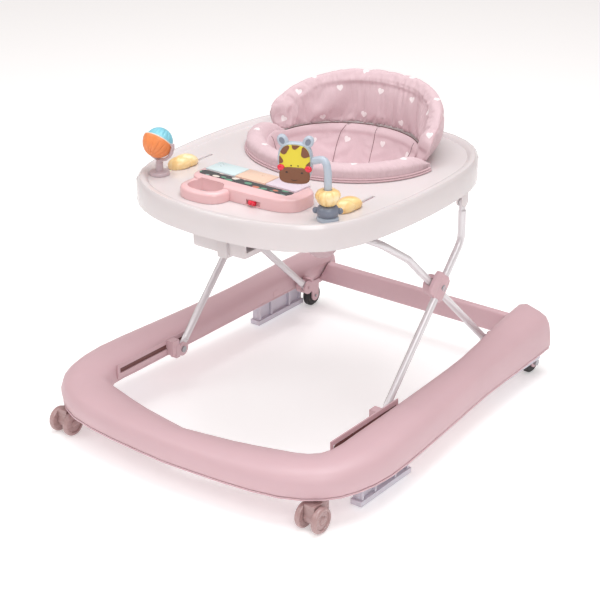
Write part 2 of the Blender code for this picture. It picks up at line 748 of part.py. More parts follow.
def tray_leg_bracket(side, sign):
    """A forked bracket under the tray. Its own pin runs through the upright tube's flat end."""
    y, z = TRAY_PIVOT
    gap = TAB_T / 2 + 0.0006
    top = (z + 0.0095, TRAY_Z - WALL - 0.0008)
    spans = ((UPRIGHT_X - gap - 0.003, UPRIGHT_X - gap), (UPRIGHT_X + gap, UPRIGHT_X + gap + 0.0015))
    x = sorted((sign * spans[0][0], sign * spans[1][1]))
    made = box(f"tray_leg_bracket_{side}", x, (y - 0.016, y + 0.009), top, WHITE)
    pieces = []
    for i, span in enumerate(spans):
        ends = sorted((sign * span[0], sign * span[1]))
        pieces.append(cutter_box(f"ear_{side}_{i}", ends, (y - 0.009, y + 0.009), (z, top[0] + 0.002)))
        pieces.append(cutter_rod(f"ear_round_{side}_{i}", (ends[0], y, z), (ends[1], y, z), 0.009))
    across_x = (sign * (spans[0][0] + 0.001), sign * (spans[1][1] - 0.0005))
    pieces.append(cutter_rod(f"ear_pin_{side}", (across_x[0], y, z), (across_x[1], y, z), PIN_R, 12))
    return join(made, *pieces)


# ---------------------------------------------------------------- tray
def tray_outline(scale_in, z):
    """Half the rim from front to rear, moved inwards by scale_in."""
    rows = smooth_rows(TRAY_ROWS, 2)
    points = []
    for i, (x, y) in enumerate(rows):
        before = Vector(rows[max(i - 1, 0)])
        after = Vector(rows[min(i + 1, len(rows) - 1)])
        along = (after - before).normalized()
        inward = Vector((-along.y, along.x))
        if i in (0, len(rows) - 1):
            inward = Vector((0, 1 if i == 0 else -1))
        moved = Vector((x, y)) + inward * scale_in
        points.append(Vector((max(moved.x, 0.0) if 0 < i < len(rows) - 1 else 0.0, moved.y, z)))
    return points


def tray():
    count = len(smooth_rows(TRAY_ROWS, 2))
    hole = []
    for i in range(count):
        angle = math.pi * (1 - i / (count - 1))
        x, y = math.sin(angle) * SEAT_HOLE[0], SEAT_CENTRE_Y + math.cos(angle) * SEAT_HOLE[1]
        hole.append(Vector((max(x, 0.0) if 0 < i < count - 1 else 0.0, y, TRAY_Z)))
    flat = tray_outline(0.019, TRAY_Z)
    lip = [Vector((p.x, p.y, TRAY_Z - 0.012)) for p in hole]
    rings = [lip, hole, flat]
    for inset, z in (
        (0.0155, RIM_Z - 0.0025),
        (0.0110, RIM_Z),
        (0.0055, RIM_Z - 0.0008),
        (0.001, RIM_Z - 0.007),
        (0.001, TRAY_SKIRT_Z),
    ):
        rings.append(tray_outline(inset, z))
    bm = bmesh.new()
    loft(bm, rings, closed=False)
    made = mirror(from_bmesh("tray", bm, WHITE))
    thicken(made, WALL, -1.0)
    slots = []
    for side, sign in SIDES:
        x = sign * BEAD_SLOT_X
        slots.append(
            cutter_box(
                f"toy_slot_{side}",
                (x - 0.003, x + 0.003),
                BEAD_SLOT_Y,
                (TRAY_Z - 0.01, TRAY_Z + 0.005),
            )
        )
    return cut(made, *slots)


def height_adjuster_housing():
    """A box under the tray's front, open on top, with a long slot through its sides for the frame's bar."""
    x, y, z = ADJUSTER["x"], ADJUSTER["y"], ADJUSTER["z"]
    made = box("height_adjuster_housing", x, y, z, WHITE, bevel=0.006)
    rib = cutter_box(
        "adjuster_rib", (-0.004, 0.014), (y[0] - 0.004, y[0] + 0.01), (z[0] - 0.003, z[1] - 0.02)
    )
    hollow = cutter_box(
        "adjuster_hollow",
        (x[0] + 0.003, x[1] - 0.003),
        (y[0] + 0.003, y[1] - 0.003),
        (z[0] + 0.003, z[1] + 0.02),
    )
    slot = cutter_box(
        "adjuster_slot",
        (x[0] - 0.01, x[1] + 0.01),
        (y[0] + 0.0045, y[1] + 0.02),
        (FRAME_TOP[1] - TUBE_R - 0.0065, FRAME_TOP[1] + TUBE_R + 0.0065),
    )
    join(made, rib)
    return cut(made, hollow, slot)


# ---------------------------------------------------------------- seat
def seat_ring_cushion():
    """The padded band round the seat hole, thicker at the front."""
    count = 28
    sections = []
    for i in range(count):
        angle = 2 * math.pi * i / count
        c, s = math.cos(angle), math.sin(angle)
        outer = Vector((s * RING_OUTER[0], SEAT_CENTRE_Y + c * RING_OUTER[1], 0))
        inner = Vector((s * RING_INNER[0], SEAT_CENTRE_Y + c * RING_INNER[1], 0))
        height = 0.0055 + 0.0225 * min(1.0, max(0.0, -c - 0.04) / 0.35)
        section = []
        for k in range(8):
            a = 2 * math.pi * k / 8
            at = outer.lerp(inner, 0.5 - 0.5 * math.cos(a))
            section.append(Vector((at.x, at.y, TRAY_Z + 0.001 + height * (0.5 + 0.5 * math.sin(a)))))
        sections.append(section)
    bm = bmesh.new()
    loft(bm, sections + [sections[0]])
    bmesh.ops.remove_doubles(bm, verts=bm.verts, dist=0.00001)
    return from_bmesh("seat_ring_cushion", bm, FABRIC)


def back_top(angle):
    """Height of the back cushion's top edge at an angle from the rear."""
    return BACK_TOP_Z - 0.050 * (abs(angle) / BACK_REACH) ** 2.6


def seat_back_cushion():
    """A curved wall round the rear half of the seat, leaning out, lower towards its ends."""
    reach = BACK_REACH
    count = 18
    sections = []
    for i in range(count + 1):
        angle = -reach + 2 * reach * i / count
        top = back_top(angle)
        end = 1 - 0.55 * max(0.0, abs(angle) / reach - 0.85) / 0.15
        direction = Vector((math.sin(angle), math.cos(angle)))
        foot = Vector(
            (
                direction.x * (BACK_OUTER[0] - 0.012),
                SEAT_CENTRE_Y + direction.y * (BACK_OUTER[1] - 0.012),
            )
        )
        head = Vector((direction.x * BACK_OUTER[0], SEAT_CENTRE_Y + direction.y * BACK_OUTER[1]))
        inward = -Vector((direction.x * BACK_OUTER[1], direction.y * BACK_OUTER[0])).normalized()
        t = BACK_T * end
        middle = (BACK_Z + top) / 2
        section = [
            (foot, 0.1 * t, BACK_Z),
            (foot.lerp(head, 0.5), 0.0, middle),
            (head, 0.0, top - 0.014),
            (head, 0.25 * t, top - 0.003),
            (head, 0.6 * t, top),
            (head, 0.95 * t, top - 0.008),
            (foot.lerp(head, 0.5), 0.9 * t, middle),
            (foot, 0.9 * t, BACK_Z),
        ]
        sections.append([Vector((*(at + inward * inset), z)) for at, inset, z in section])
    bm = bmesh.new()
    loft(bm, sections, cap=True)
    return from_bmesh("seat_back_cushion", bm, FABRIC)


def seat_sling():
    """The cloth seat that hangs in the tray: a bowl with a narrow floor and two leg holes."""
    levels = 5
    rings = []
    for i in range(levels + 1):
        f = i / levels
        z = SLING_TOP_Z + (SLING_FLOOR_Z - SLING_TOP_Z) * f
        size = [top + (floor - top) * f**1.15 for top, floor in zip(SLING_TOP, SLING_FLOOR)]
        rings.append(ellipse(SEAT_CENTRE_Y, size, z, 20))
    bm = bmesh.new()
    rows = loft(bm, rings)
    bm.faces.new(rows[-1])
    made = from_bmesh("seat_sling", bm, FABRIC)
    thicken(made, 0.0025, -1.0)
    holes = []
    for side, sign in SIDES:
        inner_end = (sign * 0.042, SEAT_CENTRE_Y - 0.010, 0.350)
        outer_end = (sign * 0.085, SEAT_CENTRE_Y - 0.180, 0.340)
        holes.append(cutter_rod(f"leg_hole_{side}", inner_end, outer_end, LEG_HOLE_R, 20))
    return cut(made, *holes)


# ---------------------------------------------------------------- music panel
def panel_points(inset, z, power=3.2):
    points = ellipse(
        PANEL_CENTRE[1], (PANEL_HALF[0] - inset, PANEL_HALF[1] - inset), z, 48, power=power
    )
    for point in points:
        point.x += PANEL_CENTRE[0]
    return points


def prism(name, rings, material=None, collection=PARTS):
    bm = bmesh.new()
    loft(bm, rings, cap=True)
    return from_bmesh(name, bm, material, collection)


def music_panel_housing():
    high = PANEL_TOP_Z
    rounding = ((0.0, TRAY_Z + GAP), (0.0, high - 0.0050), (0.0012, high - 0.0018), (0.0042, high))
    body = prism("music_panel_housing", [panel_points(*step) for step in rounding], PINK)
    centre = Vector((-0.044, -0.186))
    top = high - 0.0040
    loop_rings = []
    for inset, z in ((0.0, TRAY_Z + GAP), (0.0, top - 0.0050), (0.0012, top - 0.0018), (0.0040, top)):
        outline = ellipse(centre.y, (0.042 - inset, 0.035 - inset), z, 40, power=2.6)
        loop_rings.append([Vector((centre.x + p.x, p.y, z)) for p in outline])
    loop = prism("loop", loop_rings, None, CUTTERS)
    eye_points = ellipse(centre.y - 0.005, (0.030, 0.020), 0, 32, power=2.4)
    inner = [Vector((centre.x + p.x, p.y, 0)) for p in eye_points]
    eye = prism(
        "loop_eye",
        [[Vector((p.x, p.y, h)) for p in inner] for h in (TRAY_Z - 0.01, high + 0.02)],
        None,
        CUTTERS,
    )
    keep_body = cutter_box("eye_trim", (-0.12, 0.05), (-0.30, -0.1745), (0.40, 0.46))
    trim = eye.modifiers.new("front only", "BOOLEAN")
    trim.operation = "INTERSECT"
    trim.object = keep_body
    well = cutter_box("key_well", (-0.0865, 0.0905), (-0.1425, -0.1035), (high - 0.010, high + 0.01))
    notch = cutter_box("switch_well", (0.0300, 0.0560), (-0.1950, -0.1810), (0.4226, 0.4306))
    join(body, loop)
    return cut(body, eye, well, notch)


def music_keys():
    width = 0.177 / 3
    for i, material in enumerate((SKY, PEACH, LILAC)):
        low = -0.0865 + i * width + 0.0006
        box(
            f"music_key_{i + 1}",
            (low, low + width - 0.0012),
            (-0.1417, -0.1043),
            (PANEL_TOP_Z - 0.0060, PANEL_TOP_Z + KEY_RISE),
            material,
            bevel=0.0015,
        )


def power_switch():
    box("power_switch", (0.0350, 0.0470), (-0.1875, -0.1816), (0.4232, 0.4300), RED, bevel=0.001)


# ---------------------------------------------------------------- toys on the tray
def globe_toy():
    x, y = -TOY_X, TOY_Y
    profile = [
        (0.0, 0.0200),
        (0.0058, 0.0195),
        (0.0060, 0.0060),
        (0.0150, 0.0050),
        (0.0162, 0.0030),
        (0.0162, 0.0),
        (0.0, 0.0),
    ]
    stand = turned("globe_stand", profile, LILAC, (x, y, TRAY_Z + GAP), steps=16)
    arc = []
    for i in range(10):
        angle = math.radians(188 + 164 * i / 9)
        arc.append((x + 0.0290 * math.cos(angle), y, GLOBE_Z + 0.0290 * math.sin(angle)))
    fork = tube("fork", arc, 0.0028, None, CUTTERS, 1)
    post = cutter_rod("fork_post", (x, y, TRAY_Z + 0.010), (x, y, GLOBE_Z - 0.0285), 0.0050)
    inner = 0.0249
    pegs = []
    for tag, sign in (("a", -1), ("b", 1)):
        pegs.append(
            cutter_rod(
                f"peg_{tag}",
                (x + sign * 0.0290, y, GLOBE_Z),
                (x + sign * (inner + 0.0007), y, GLOBE_Z),
                0.0022,
                12,
            )
        )
        pegs.append(
            cutter_rod(
                f"peg_seat_{tag}",
                (x + sign * 0.0290, y, GLOBE_Z - 0.006),
                (x + sign * 0.0290, y, GLOBE_Z + 0.002),
                0.0028,
                12,
            )
        )
    join(stand, fork, post, *pegs)
    for name, material, sign in (("globe_shell_blue", BLUE, 1), ("globe_shell_orange", ORANGE, -1)):
        half_ball(name, (x, y, GLOBE_Z), material, sign)


def half_ball(name, centre, material, sign):
    """Half of the ball, cut by a plane through the X axis that leans back."""
    bm = bmesh.new()
    bmesh.ops.create_uvsphere(bm, u_segments=20, v_segments=12, radius=GLOBE_R)
    normal = Vector((0, math.sin(GLOBE_LEAN), math.cos(GLOBE_LEAN))) * sign
    offset = normal * 0.0004
    geometry = bm.verts[:] + bm.edges[:] + bm.faces[:]
    bmesh.ops.bisect_plane(bm, geom=geometry, plane_co=offset, plane_no=-normal, clear_outer=True)
    bmesh.ops.holes_fill(bm, edges=[e for e in bm.edges if e.is_boundary], sides=0)
    made = from_bmesh(name, bm, material)
    made.location = centre
    return made


def giraffe_toy():
    x, y = TOY_X - 0.002, TOY_Y
    profile = [
        (0.0, 0.0225),
        (0.0105, 0.0220),
        (0.0150, 0.0180),
        (0.0162, 0.0125),
        (0.0140, 0.0060),
        (0.0165, 0.0045),
        (0.0165, 0.0),
        (0.0, 0.0),
    ]
    stand = turned("giraffe_stand", profile, GREY_BLUE, (x, y, TRAY_Z + GAP), steps=20)
    foot, bend = (x, y, TRAY_Z + 0.010), (x, y, 0.4920)
    route = [foot, bend, (x - 0.004, y, 0.5140), (x - 0.0260, y + 0.001, 0.5060)]
    stalk = tube("stalk", rounded_path(route, 0.009, 4), 0.0058, None, CUTTERS, 3)
    join(stand, stalk)
    bead = [
        (0.0064, 0.0235),
        (0.0130, 0.0225),
        (0.0180, 0.0165),
        (0.0190, 0.0110),
        (0.0160, 0.0040),
        (0.0110, 0.0),
        (0.0064, 0.0),
    ]
    turned("giraffe_bead", bead, YELLOW, (x, y, TRAY_Z + 0.0235), steps=20)
    head_centre = Vector((x - 0.0560, y - 0.004, 0.4980))
    outline = ellipse(0.0, (0.0265, 0.0325), 0, 28, power=2.8)
    rings = []
    for depth, grow in ((-0.0055, 0.94), (-0.0040, 1.0), (0.0040, 1.0), (0.0055, 0.94)):
        rings.append([Vector((p.x * grow, -depth, p.y * grow)) for p in outline])
    head = prism("giraffe_head", rings, GREY_BLUE)
    turn = Matrix.Rotation(math.radians(24), 4, "Z")
    head.matrix_world = Matrix.Translation(head_centre) @ turn
    knobs = []
    for tag, dx in (("a", -0.016), ("b", 0.018)):
        base = head.matrix_world @ Vector((dx, 0, 0.026))
        tip = head.matrix_world @ Vector((dx * 1.15, 0, 0.040))
        knobs.append(cutter_rod(f"horn_{tag}", base, tip, 0.0048, 12))
    join(head, *knobs)


def slider_toy(side, sign):
    """A lobed slug that slides along its slot in the tray, with a foot under it."""
    x, y = sign * BEAD_SLOT_X, -0.1085
    z = TRAY_Z + GAP
    sections = []
    for f, half_w, height in (
        (-1.0, 0.004, 0.006),
        (-0.8, 0.011, 0.012),
        (-0.35, 0.0155, 0.0175),
        (0.1, 0.0165, 0.0190),
        (0.6, 0.0125, 0.014),
        (1.0, 0.004, 0.006),
    ):
        ring = []
        for k in range(10):
            a = 2 * math.pi * k / 10
            ring.append(
                Vector(
                    (x + half_w * math.cos(a), y + 0.026 * f, z + height * (0.5 + 0.5 * math.sin(a)))
                )
            )
        sections.append(ring)
    made = prism(f"slider_toy_{side}", sections, YELLOW)
    foot = cutter_box(
        f"toy_foot_{side}",
        (x - 0.0022, x + 0.0022),
        (y - 0.0090, y + 0.0090),
        (TRAY_Z - 0.006, z + 0.006),
    )
    return join(made, foot)


# ---------------------------------------------------------------- assembly
base_upper_shell()
base_lower_shell()
rear_crossbar()
for side_name, side_sign in SIDES:
    slide_rail(side_name, side_sign)
    caster(side_name, side_sign)
    rear_wheel(side_name, side_sign)
    for pad_end in PAD_XY:
        brake_pad(side_name, side_sign, pad_end)
    upright_leg(side_name, side_sign)
    crossing(side_name, side_sign)
    slider_bracket(side_name, side_sign)
    rear_leg_bracket(side_name, side_sign)
    tray_leg_bracket(side_name, side_sign)
    slider_toy(side_name, side_sign)
cross_leg_frame()
tray()
height_adjuster_housing()
seat_ring_cushion()
seat_back_cushion()
seat_sling()
music_panel_housing()
music_keys()
power_switch()
globe_toy()
giraffe_toy()
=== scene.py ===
"""Looks of the folding baby walker: its materials, padded seat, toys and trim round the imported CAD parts.

Metres, +Z up, in the CAD's frame: the front is -Y and the child's left hand is +X.
"""

import json
from math import atan2, copysign, cos, degrees, exp, hypot, pi, radians, sin, sqrt

import bpy
import numpy as np
from mathutils import Matrix, Vector, noise
from mathutils.bvhtree import BVHTree


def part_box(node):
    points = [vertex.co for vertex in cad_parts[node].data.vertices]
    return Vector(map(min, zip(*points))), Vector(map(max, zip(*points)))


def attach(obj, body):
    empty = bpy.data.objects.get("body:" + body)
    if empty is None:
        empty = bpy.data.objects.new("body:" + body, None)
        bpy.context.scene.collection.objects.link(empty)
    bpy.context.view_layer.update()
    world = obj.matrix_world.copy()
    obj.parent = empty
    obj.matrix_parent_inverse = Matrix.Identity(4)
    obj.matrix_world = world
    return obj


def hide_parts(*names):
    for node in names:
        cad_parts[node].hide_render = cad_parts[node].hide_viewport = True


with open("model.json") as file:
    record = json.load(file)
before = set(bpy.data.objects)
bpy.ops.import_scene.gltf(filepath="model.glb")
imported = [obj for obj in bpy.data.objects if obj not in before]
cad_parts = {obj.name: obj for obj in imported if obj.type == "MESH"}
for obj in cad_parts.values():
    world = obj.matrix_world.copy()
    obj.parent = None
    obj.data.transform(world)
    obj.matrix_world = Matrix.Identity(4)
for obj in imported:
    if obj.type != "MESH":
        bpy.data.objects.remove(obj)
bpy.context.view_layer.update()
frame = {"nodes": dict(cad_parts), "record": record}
NODES = frame["nodes"]
SCENE = bpy.context.scene
SIDES = (("left", 1), ("right", -1))

# Camera: the point it looks at, its side and height in degrees, its distance, and its lens in millimetres
LOOK_AT = (0.073, -0.109, 0.25)
AZIMUTH = 37.13
ELEVATION = 23.93
DISTANCE = 2.662
LENS = 102.7

# The tray's deck, inside its rim, and the boxes of parts that others are fitted to
TRAY_TOP = 0.4205
BACK_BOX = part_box("seat_back_cushion")
SLING_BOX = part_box("seat_sling")
PANEL_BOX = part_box("music_panel_housing")


# ---- node helpers
class Shader:
    """A material in the making: node() adds a node, and takes numbers, colours or other nodes' sockets."""

    def __init__(self, name):
        self.material = bpy.data.materials.new(name)
        self.material.use_nodes = True
        self.tree = self.material.node_tree
        self.surface = self.tree.nodes["Principled BSDF"]
        self.where = self.node("TexCoord").outputs["Object"]

    def node(self, kind, inputs=(), **settings):
        made = self.tree.nodes.new("ShaderNode" + kind)
        for key, value in settings.items():
            setattr(made, key, value)
        for key, value in dict(inputs).items():
            self.put(made.inputs[key], value)
        return made

    def put(self, socket, value):
        if isinstance(value, bpy.types.NodeSocket):
            self.tree.links.new(value, socket)
        else:
            socket.default_value = value

    def set(self, **values):
        for key, value in values.items():
            self.put(self.surface.inputs[key.replace("_", " ")], value)

    def math(self, operation, a, b=0.0, c=0.0):
        return self.node("Math", {0: a, 1: b, 2: c}, operation=operation).outputs[0]

    def noise(self, scale, detail=2.0, where=None, distortion=0.0):
        inputs = {"Vector": where or self.where, "Scale": scale, "Detail": detail, "Distortion": distortion}
        return self.node("TexNoise", inputs).outputs["Fac"]

    def stretched(self, scale):
        return self.node("Mapping", {"Vector": self.where, "Scale": scale}).outputs[0]

    def ranged(self, value, low, high, to_low=0.0, to_high=1.0):
        inputs = {"Value": value, "From Min": low, "From Max": high, "To Min": to_low, "To Max": to_high}
        return self.node("MapRange", inputs).outputs[0]

    def mix(self, share, a, b):
        made = self.node("Mix", data_type="RGBA")
        self.put(made.inputs["Factor"], share)
        self.put(made.inputs[6], a)
        self.put(made.inputs[7], b)
        return made.outputs[2]

    def bump(self, height, distance, strength, normal=None):
        inputs = {"Height": height, "Distance": distance, "Strength": strength}
        if normal is not None:
            inputs["Normal"] = normal
        return self.node("Bump", inputs).outputs[0]

    def rounded_edges(self, radius):
        return self.node("Bevel", {"Radius": radius}, samples=4).outputs[0]

    def edge_mask(self, radius):
        """1 along sharp edges, 0 on flat ground."""
        true = self.node("NewGeometry").outputs["Normal"]
        inputs = {0: self.rounded_edges(radius), 1: true}
        dot = self.node("VectorMath", inputs, operation="DOT_PRODUCT").outputs["Value"]
        return self.ranged(dot, 0.995, 0.9)


def shade(colour, by):
    return (*(min(1.0, c * by) for c in colour), 1.0)


# ---- materials
EDGE_RADIUS = 0.0009
GRAIN = 0.00003


def moulded_plastic(name, colour, roughness, grain=GRAIN, coat=0.0):
    """Injection-moulded plastic: faint flow clouds, a fine grain, softened edges, and edges and corners
    coloured lighter.
    """
    made = Shader(name)
    clouds = made.noise(7.0, 3.0)
    grain_height = made.noise(1500.0, 1.0)
    scuffs = made.noise(60.0, 4.0, made.stretched((1.0, 1.0, 3.0)))
    ground = made.mix(made.ranged(clouds, 0.3, 0.7), shade(colour, 0.965), shade(colour, 1.02))
    # every sharp edge and corner is coloured lighter than the ground
    lighter_edges = made.math("MULTIPLY", made.edge_mask(EDGE_RADIUS * 1.6), 0.22)
    made.set(Base_Color=made.mix(lighter_edges, ground, shade(colour, 1.25)))
    made.set(Roughness=made.ranged(scuffs, 0.3, 0.75, roughness * 0.85, roughness * 1.2))
    made.set(Normal=made.bump(grain_height, grain, 0.6, made.rounded_edges(EDGE_RADIUS)))
    made.set(Coat_Weight=coat, Coat_Roughness=0.12)
    made.set(Subsurface_Weight=0.04, Subsurface_Radius=(0.006, 0.003, 0.002), Subsurface_Scale=0.5)
    return made.material


def pearl_paint(name, colour):
    """Powder-coated steel tube: pale, with a faint flake and a clear top coat."""
    made = Shader(name)
    flake = made.noise(2600.0, 1.0)
    clouds = made.noise(14.0, 3.0)
    sparkle = made.ranged(flake, 0.35, 0.65)
    made.set(Base_Color=made.mix(sparkle, shade(colour, 0.98), shade(colour, 1.02)))
    made.set(Metallic=0.3, Roughness=made.ranged(clouds, 0.3, 0.7, 0.3, 0.36))
    made.set(Normal=made.bump(made.noise(900.0, 2.0), 0.000005, 0.3), Coat_Weight=0.5, Coat_Roughness=0.08)
    return made.material


def brushed_steel(name, colour):
    made = Shader(name)
    streaks = made.noise(500.0, 3.0, made.stretched((0.1, 1.0, 1.0)))
    made.set(Base_Color=made.mix(streaks, shade(colour, 0.75), shade(colour, 1.15)))
    made.set(Metallic=1.0, Roughness=made.ranged(streaks, 0.2, 0.8, 0.25, 0.42))
    made.set(Normal=made.bump(streaks, 0.00002, 0.4, made.rounded_edges(0.0004)))
    return made.material


def rubber(name, colour):
    made = Shader(name)
    dust = made.noise(90.0, 4.0)
    dusty = made.ranged(dust, 0.5, 0.8, 0.0, 0.6)
    made.set(Base_Color=made.mix(dusty, shade(colour, 1.0), (0.09, 0.085, 0.08, 1.0)))
    made.set(Roughness=made.ranged(dust, 0.3, 0.7, 0.5, 0.72))
    made.set(Normal=made.bump(made.noise(1400.0, 2.0), 0.00004, 0.6, made.rounded_edges(0.0008)))
    return made.material


WEAVE_PITCH = 0.00085


def weave_height(made):
    """Crossing threads on every side of a form: a periodic surface cut by the cloth."""
    scale = 2 * pi / WEAVE_PITCH
    phase = made.node("VectorMath", {0: made.where, 3: scale}, operation="SCALE")
    parts = made.node("SeparateXYZ", {0: phase.outputs[0]}).outputs
    waves = [(made.math("SINE", parts[i]), made.math("COSINE", parts[(i + 1) % 3])) for i in range(3)]
    total = made.math("MULTIPLY", *waves[0])
    for pair in waves[1:]:
        total = made.math("ADD", total, made.math("MULTIPLY", *pair))
    return made.ranged(total, -1.5, 1.5)


def heart(made):
    """1 inside the small printed hearts, from each one's own coordinates stored on the mesh."""
    stored = made.node("Attribute", attribute_name="print_place").outputs["Vector"]
    across, up, far = made.node("SeparateXYZ", {0: stored}).outputs
    dip = made.math("MULTIPLY", made.math("SQRT", made.math("ABSOLUTE", across)), 0.75)
    height = made.math("SUBTRACT", made.math("MULTIPLY", up, 1.15), dip)
    reach = made.math("ADD", made.math("POWER", across, 2.0), made.math("POWER", height, 2.0))
    near = made.math("LESS_THAN", far, 1.8)
    return made.math("MULTIPLY", made.ranged(reach, 1.08, 0.92), near)


def woven_cloth(name, colour, printed=False, sheen=0.35):
    """Soft plain-woven polyester, with slubs, faint clouds of colour, painted shade between the threads and,
    where asked, small white printed hearts whose ink also gets that painted shade.
    """
    made = Shader(name)
    threads = weave_height(made)
    slubs = made.noise(420.0, 3.0, made.stretched((1.0, 1.0, 0.25)))
    clouds = made.noise(11.0, 3.0)
    ground = made.mix(made.ranged(clouds, 0.3, 0.7), shade(colour, 0.95), shade(colour, 1.04))
    # painted shade: the cloth is darkened in the hollows between the threads
    ground = made.mix(made.ranged(threads, 0.0, 1.0, 0.35, 0.0), ground, shade(colour, 0.8))
    ground = made.mix(made.ranged(slubs, 0.6, 0.75, 0.0, 0.35), ground, shade(colour, 1.18))
    if printed:
        # painted shade: the printed ink is darkened in the hollows between the threads
        painted_thread_shade = made.ranged(threads, 0.0, 1.0, 0.3, 0.0)
        ink = made.mix(painted_thread_shade, (0.93, 0.89, 0.89, 1.0), (0.8, 0.68, 0.69, 1.0))
        ground = made.mix(made.math("MULTIPLY", heart(made), 0.85), ground, ink)
    made.set(Base_Color=ground, Roughness=0.85)
    height = made.math("ADD", threads, made.math("MULTIPLY", slubs, 0.8))
    made.set(Normal=made.bump(height, 0.00012, 0.7))
    made.set(Sheen_Weight=sheen, Sheen_Roughness=0.45, Sheen_Tint=(0.95, 0.8, 0.82, 1.0))
    return made.material


def streaked_gloss(name, colour, dark, light):
    """Marbled plastic, as on the sliding toys."""
    made = Shader(name)
    streaks = made.noise(40.0, 2.0, made.stretched((2.0, 0.6, 1.0)), 0.8)
    ground = made.mix(made.ranged(streaks, 0.3, 0.5), (*dark, 1.0), (*colour, 1.0))
    ground = made.mix(made.ranged(streaks, 0.52, 0.72), ground, (*light, 1.0))
    made.set(Base_Color=ground, Roughness=0.3, Coat_Weight=0.4, Coat_Roughness=0.1)
    made.set(Normal=made.bump(made.noise(1200.0, 1.0), 0.00002, 0.5))
    return made.material


# Each print colour of the picture strip, and the share of the cells that comes before it
PRINT_COLOURS = (
    (0.35, (0.1, 0.3, 0.2)),
    (0.62, (0.62, 0.17, 0.1)),
    (0.78, (0.8, 0.74, 0.66)),
    (0.9, (0.25, 0.45, 0.42)),
)


def picture_strip(name):
    """A printed strip under clear film: dark ground with loose leaves, berries and pale flecks."""
    made = Shader(name)
    cells = made.node("TexVoronoi", {"Vector": made.stretched((1.0, 1.8, 1.0)), "Scale": 62.0})
    pick = made.node("SeparateColor", {0: cells.outputs["Color"]}).outputs[0]
    leaf = made.ranged(cells.outputs["Distance"], 0.42, 0.5, 1.0, 0.0)
    colour = (0.03, 0.036, 0.042, 1.0)
    for low, tint in PRINT_COLOURS:
        here = made.math("MULTIPLY", made.math("GREATER_THAN", pick, low), leaf)
        colour = made.mix(here, colour, (*tint, 1.0))
    made.set(Base_Color=colour, Roughness=0.25, Coat_Weight=0.6, Coat_Roughness=0.06)
    made.set(Normal=made.bump(made.noise(500.0, 2.0), 0.00001, 0.5))
    return made.material


FINE_GRAIN = 0.00001

# Moulded plastics: the colour and roughness, then the grain's height and the clear coat where they differ
PLASTICS = {
    "pink_plastic": ((0.655, 0.445, 0.48), 0.42),
    "pink_gloss": ((0.83, 0.53, 0.54), 0.22, FINE_GRAIN, 0.35),
    "white_plastic": ((0.72, 0.665, 0.67), 0.2, 0.000012, 0.35),
    "lilac_plastic": ((0.66, 0.64, 0.72), 0.34),
    "stand_lilac": ((0.58, 0.47, 0.5), 0.3, GRAIN, 0.2),
    "caster_rose": ((0.43, 0.275, 0.27), 0.28, GRAIN, 0.3),
    "key_lilac": ((0.78, 0.66, 0.74), 0.3, FINE_GRAIN),
    "red_plastic": ((0.8, 0.022, 0.055), 0.25, FINE_GRAIN, 0.4),
    "orange_plastic": ((0.85, 0.27, 0.085), 0.34),
    "blue_plastic": ((0.22, 0.57, 0.68), 0.34),
    "cream_plastic": ((0.84, 0.7, 0.6), 0.34),
    "peach_plastic": ((0.82, 0.58, 0.45), 0.3, FINE_GRAIN),
    "pale_blue_plastic": ((0.62, 0.735, 0.75), 0.3, FINE_GRAIN),
    "grey_blue_plastic": ((0.46, 0.52, 0.6), 0.32, GRAIN, 0.2),
    "slate_plastic": ((0.2, 0.225, 0.29), 0.3, GRAIN, 0.3),
    "face_yellow": ((0.8, 0.66, 0.045), 0.4),
    "face_brown": ((0.215, 0.08, 0.036), 0.4),
    "dark": ((0.03, 0.024, 0.024), 0.5),
    # painted shade for the inside of the rail's slot
    "recess": ((0.17, 0.07, 0.065), 0.6),
}
LOOKS = {key: moulded_plastic(key.replace("_", " "), *values) for key, values in PLASTICS.items()}
LOOKS["tube_paint"] = pearl_paint("pearl tube paint", (0.74, 0.71, 0.73))
LOOKS["steel"] = brushed_steel("zinc steel", (0.42, 0.42, 0.44))
LOOKS["black_rubber"] = rubber("black tyre rubber", (0.022, 0.021, 0.022))
LOOKS["pink_fabric"] = woven_cloth("pink printed cloth", (0.705, 0.525, 0.56), printed=True)
LOOKS["pink_binding"] = woven_cloth("pink binding cloth", (0.66, 0.455, 0.485))
# A dark cloth painted as shade along the lining's seams and under the back's foot
LOOKS["seam_shade"] = woven_cloth("seam shade", (0.16, 0.07, 0.075), sheen=0.03)
LOOKS["yellow_plastic"] = streaked_gloss(
    "marbled yellow plastic", (0.92, 0.66, 0.3), (0.82, 0.5, 0.18), (0.95, 0.8, 0.5)
)
LOOKS["picture"] = picture_strip("picture strip")


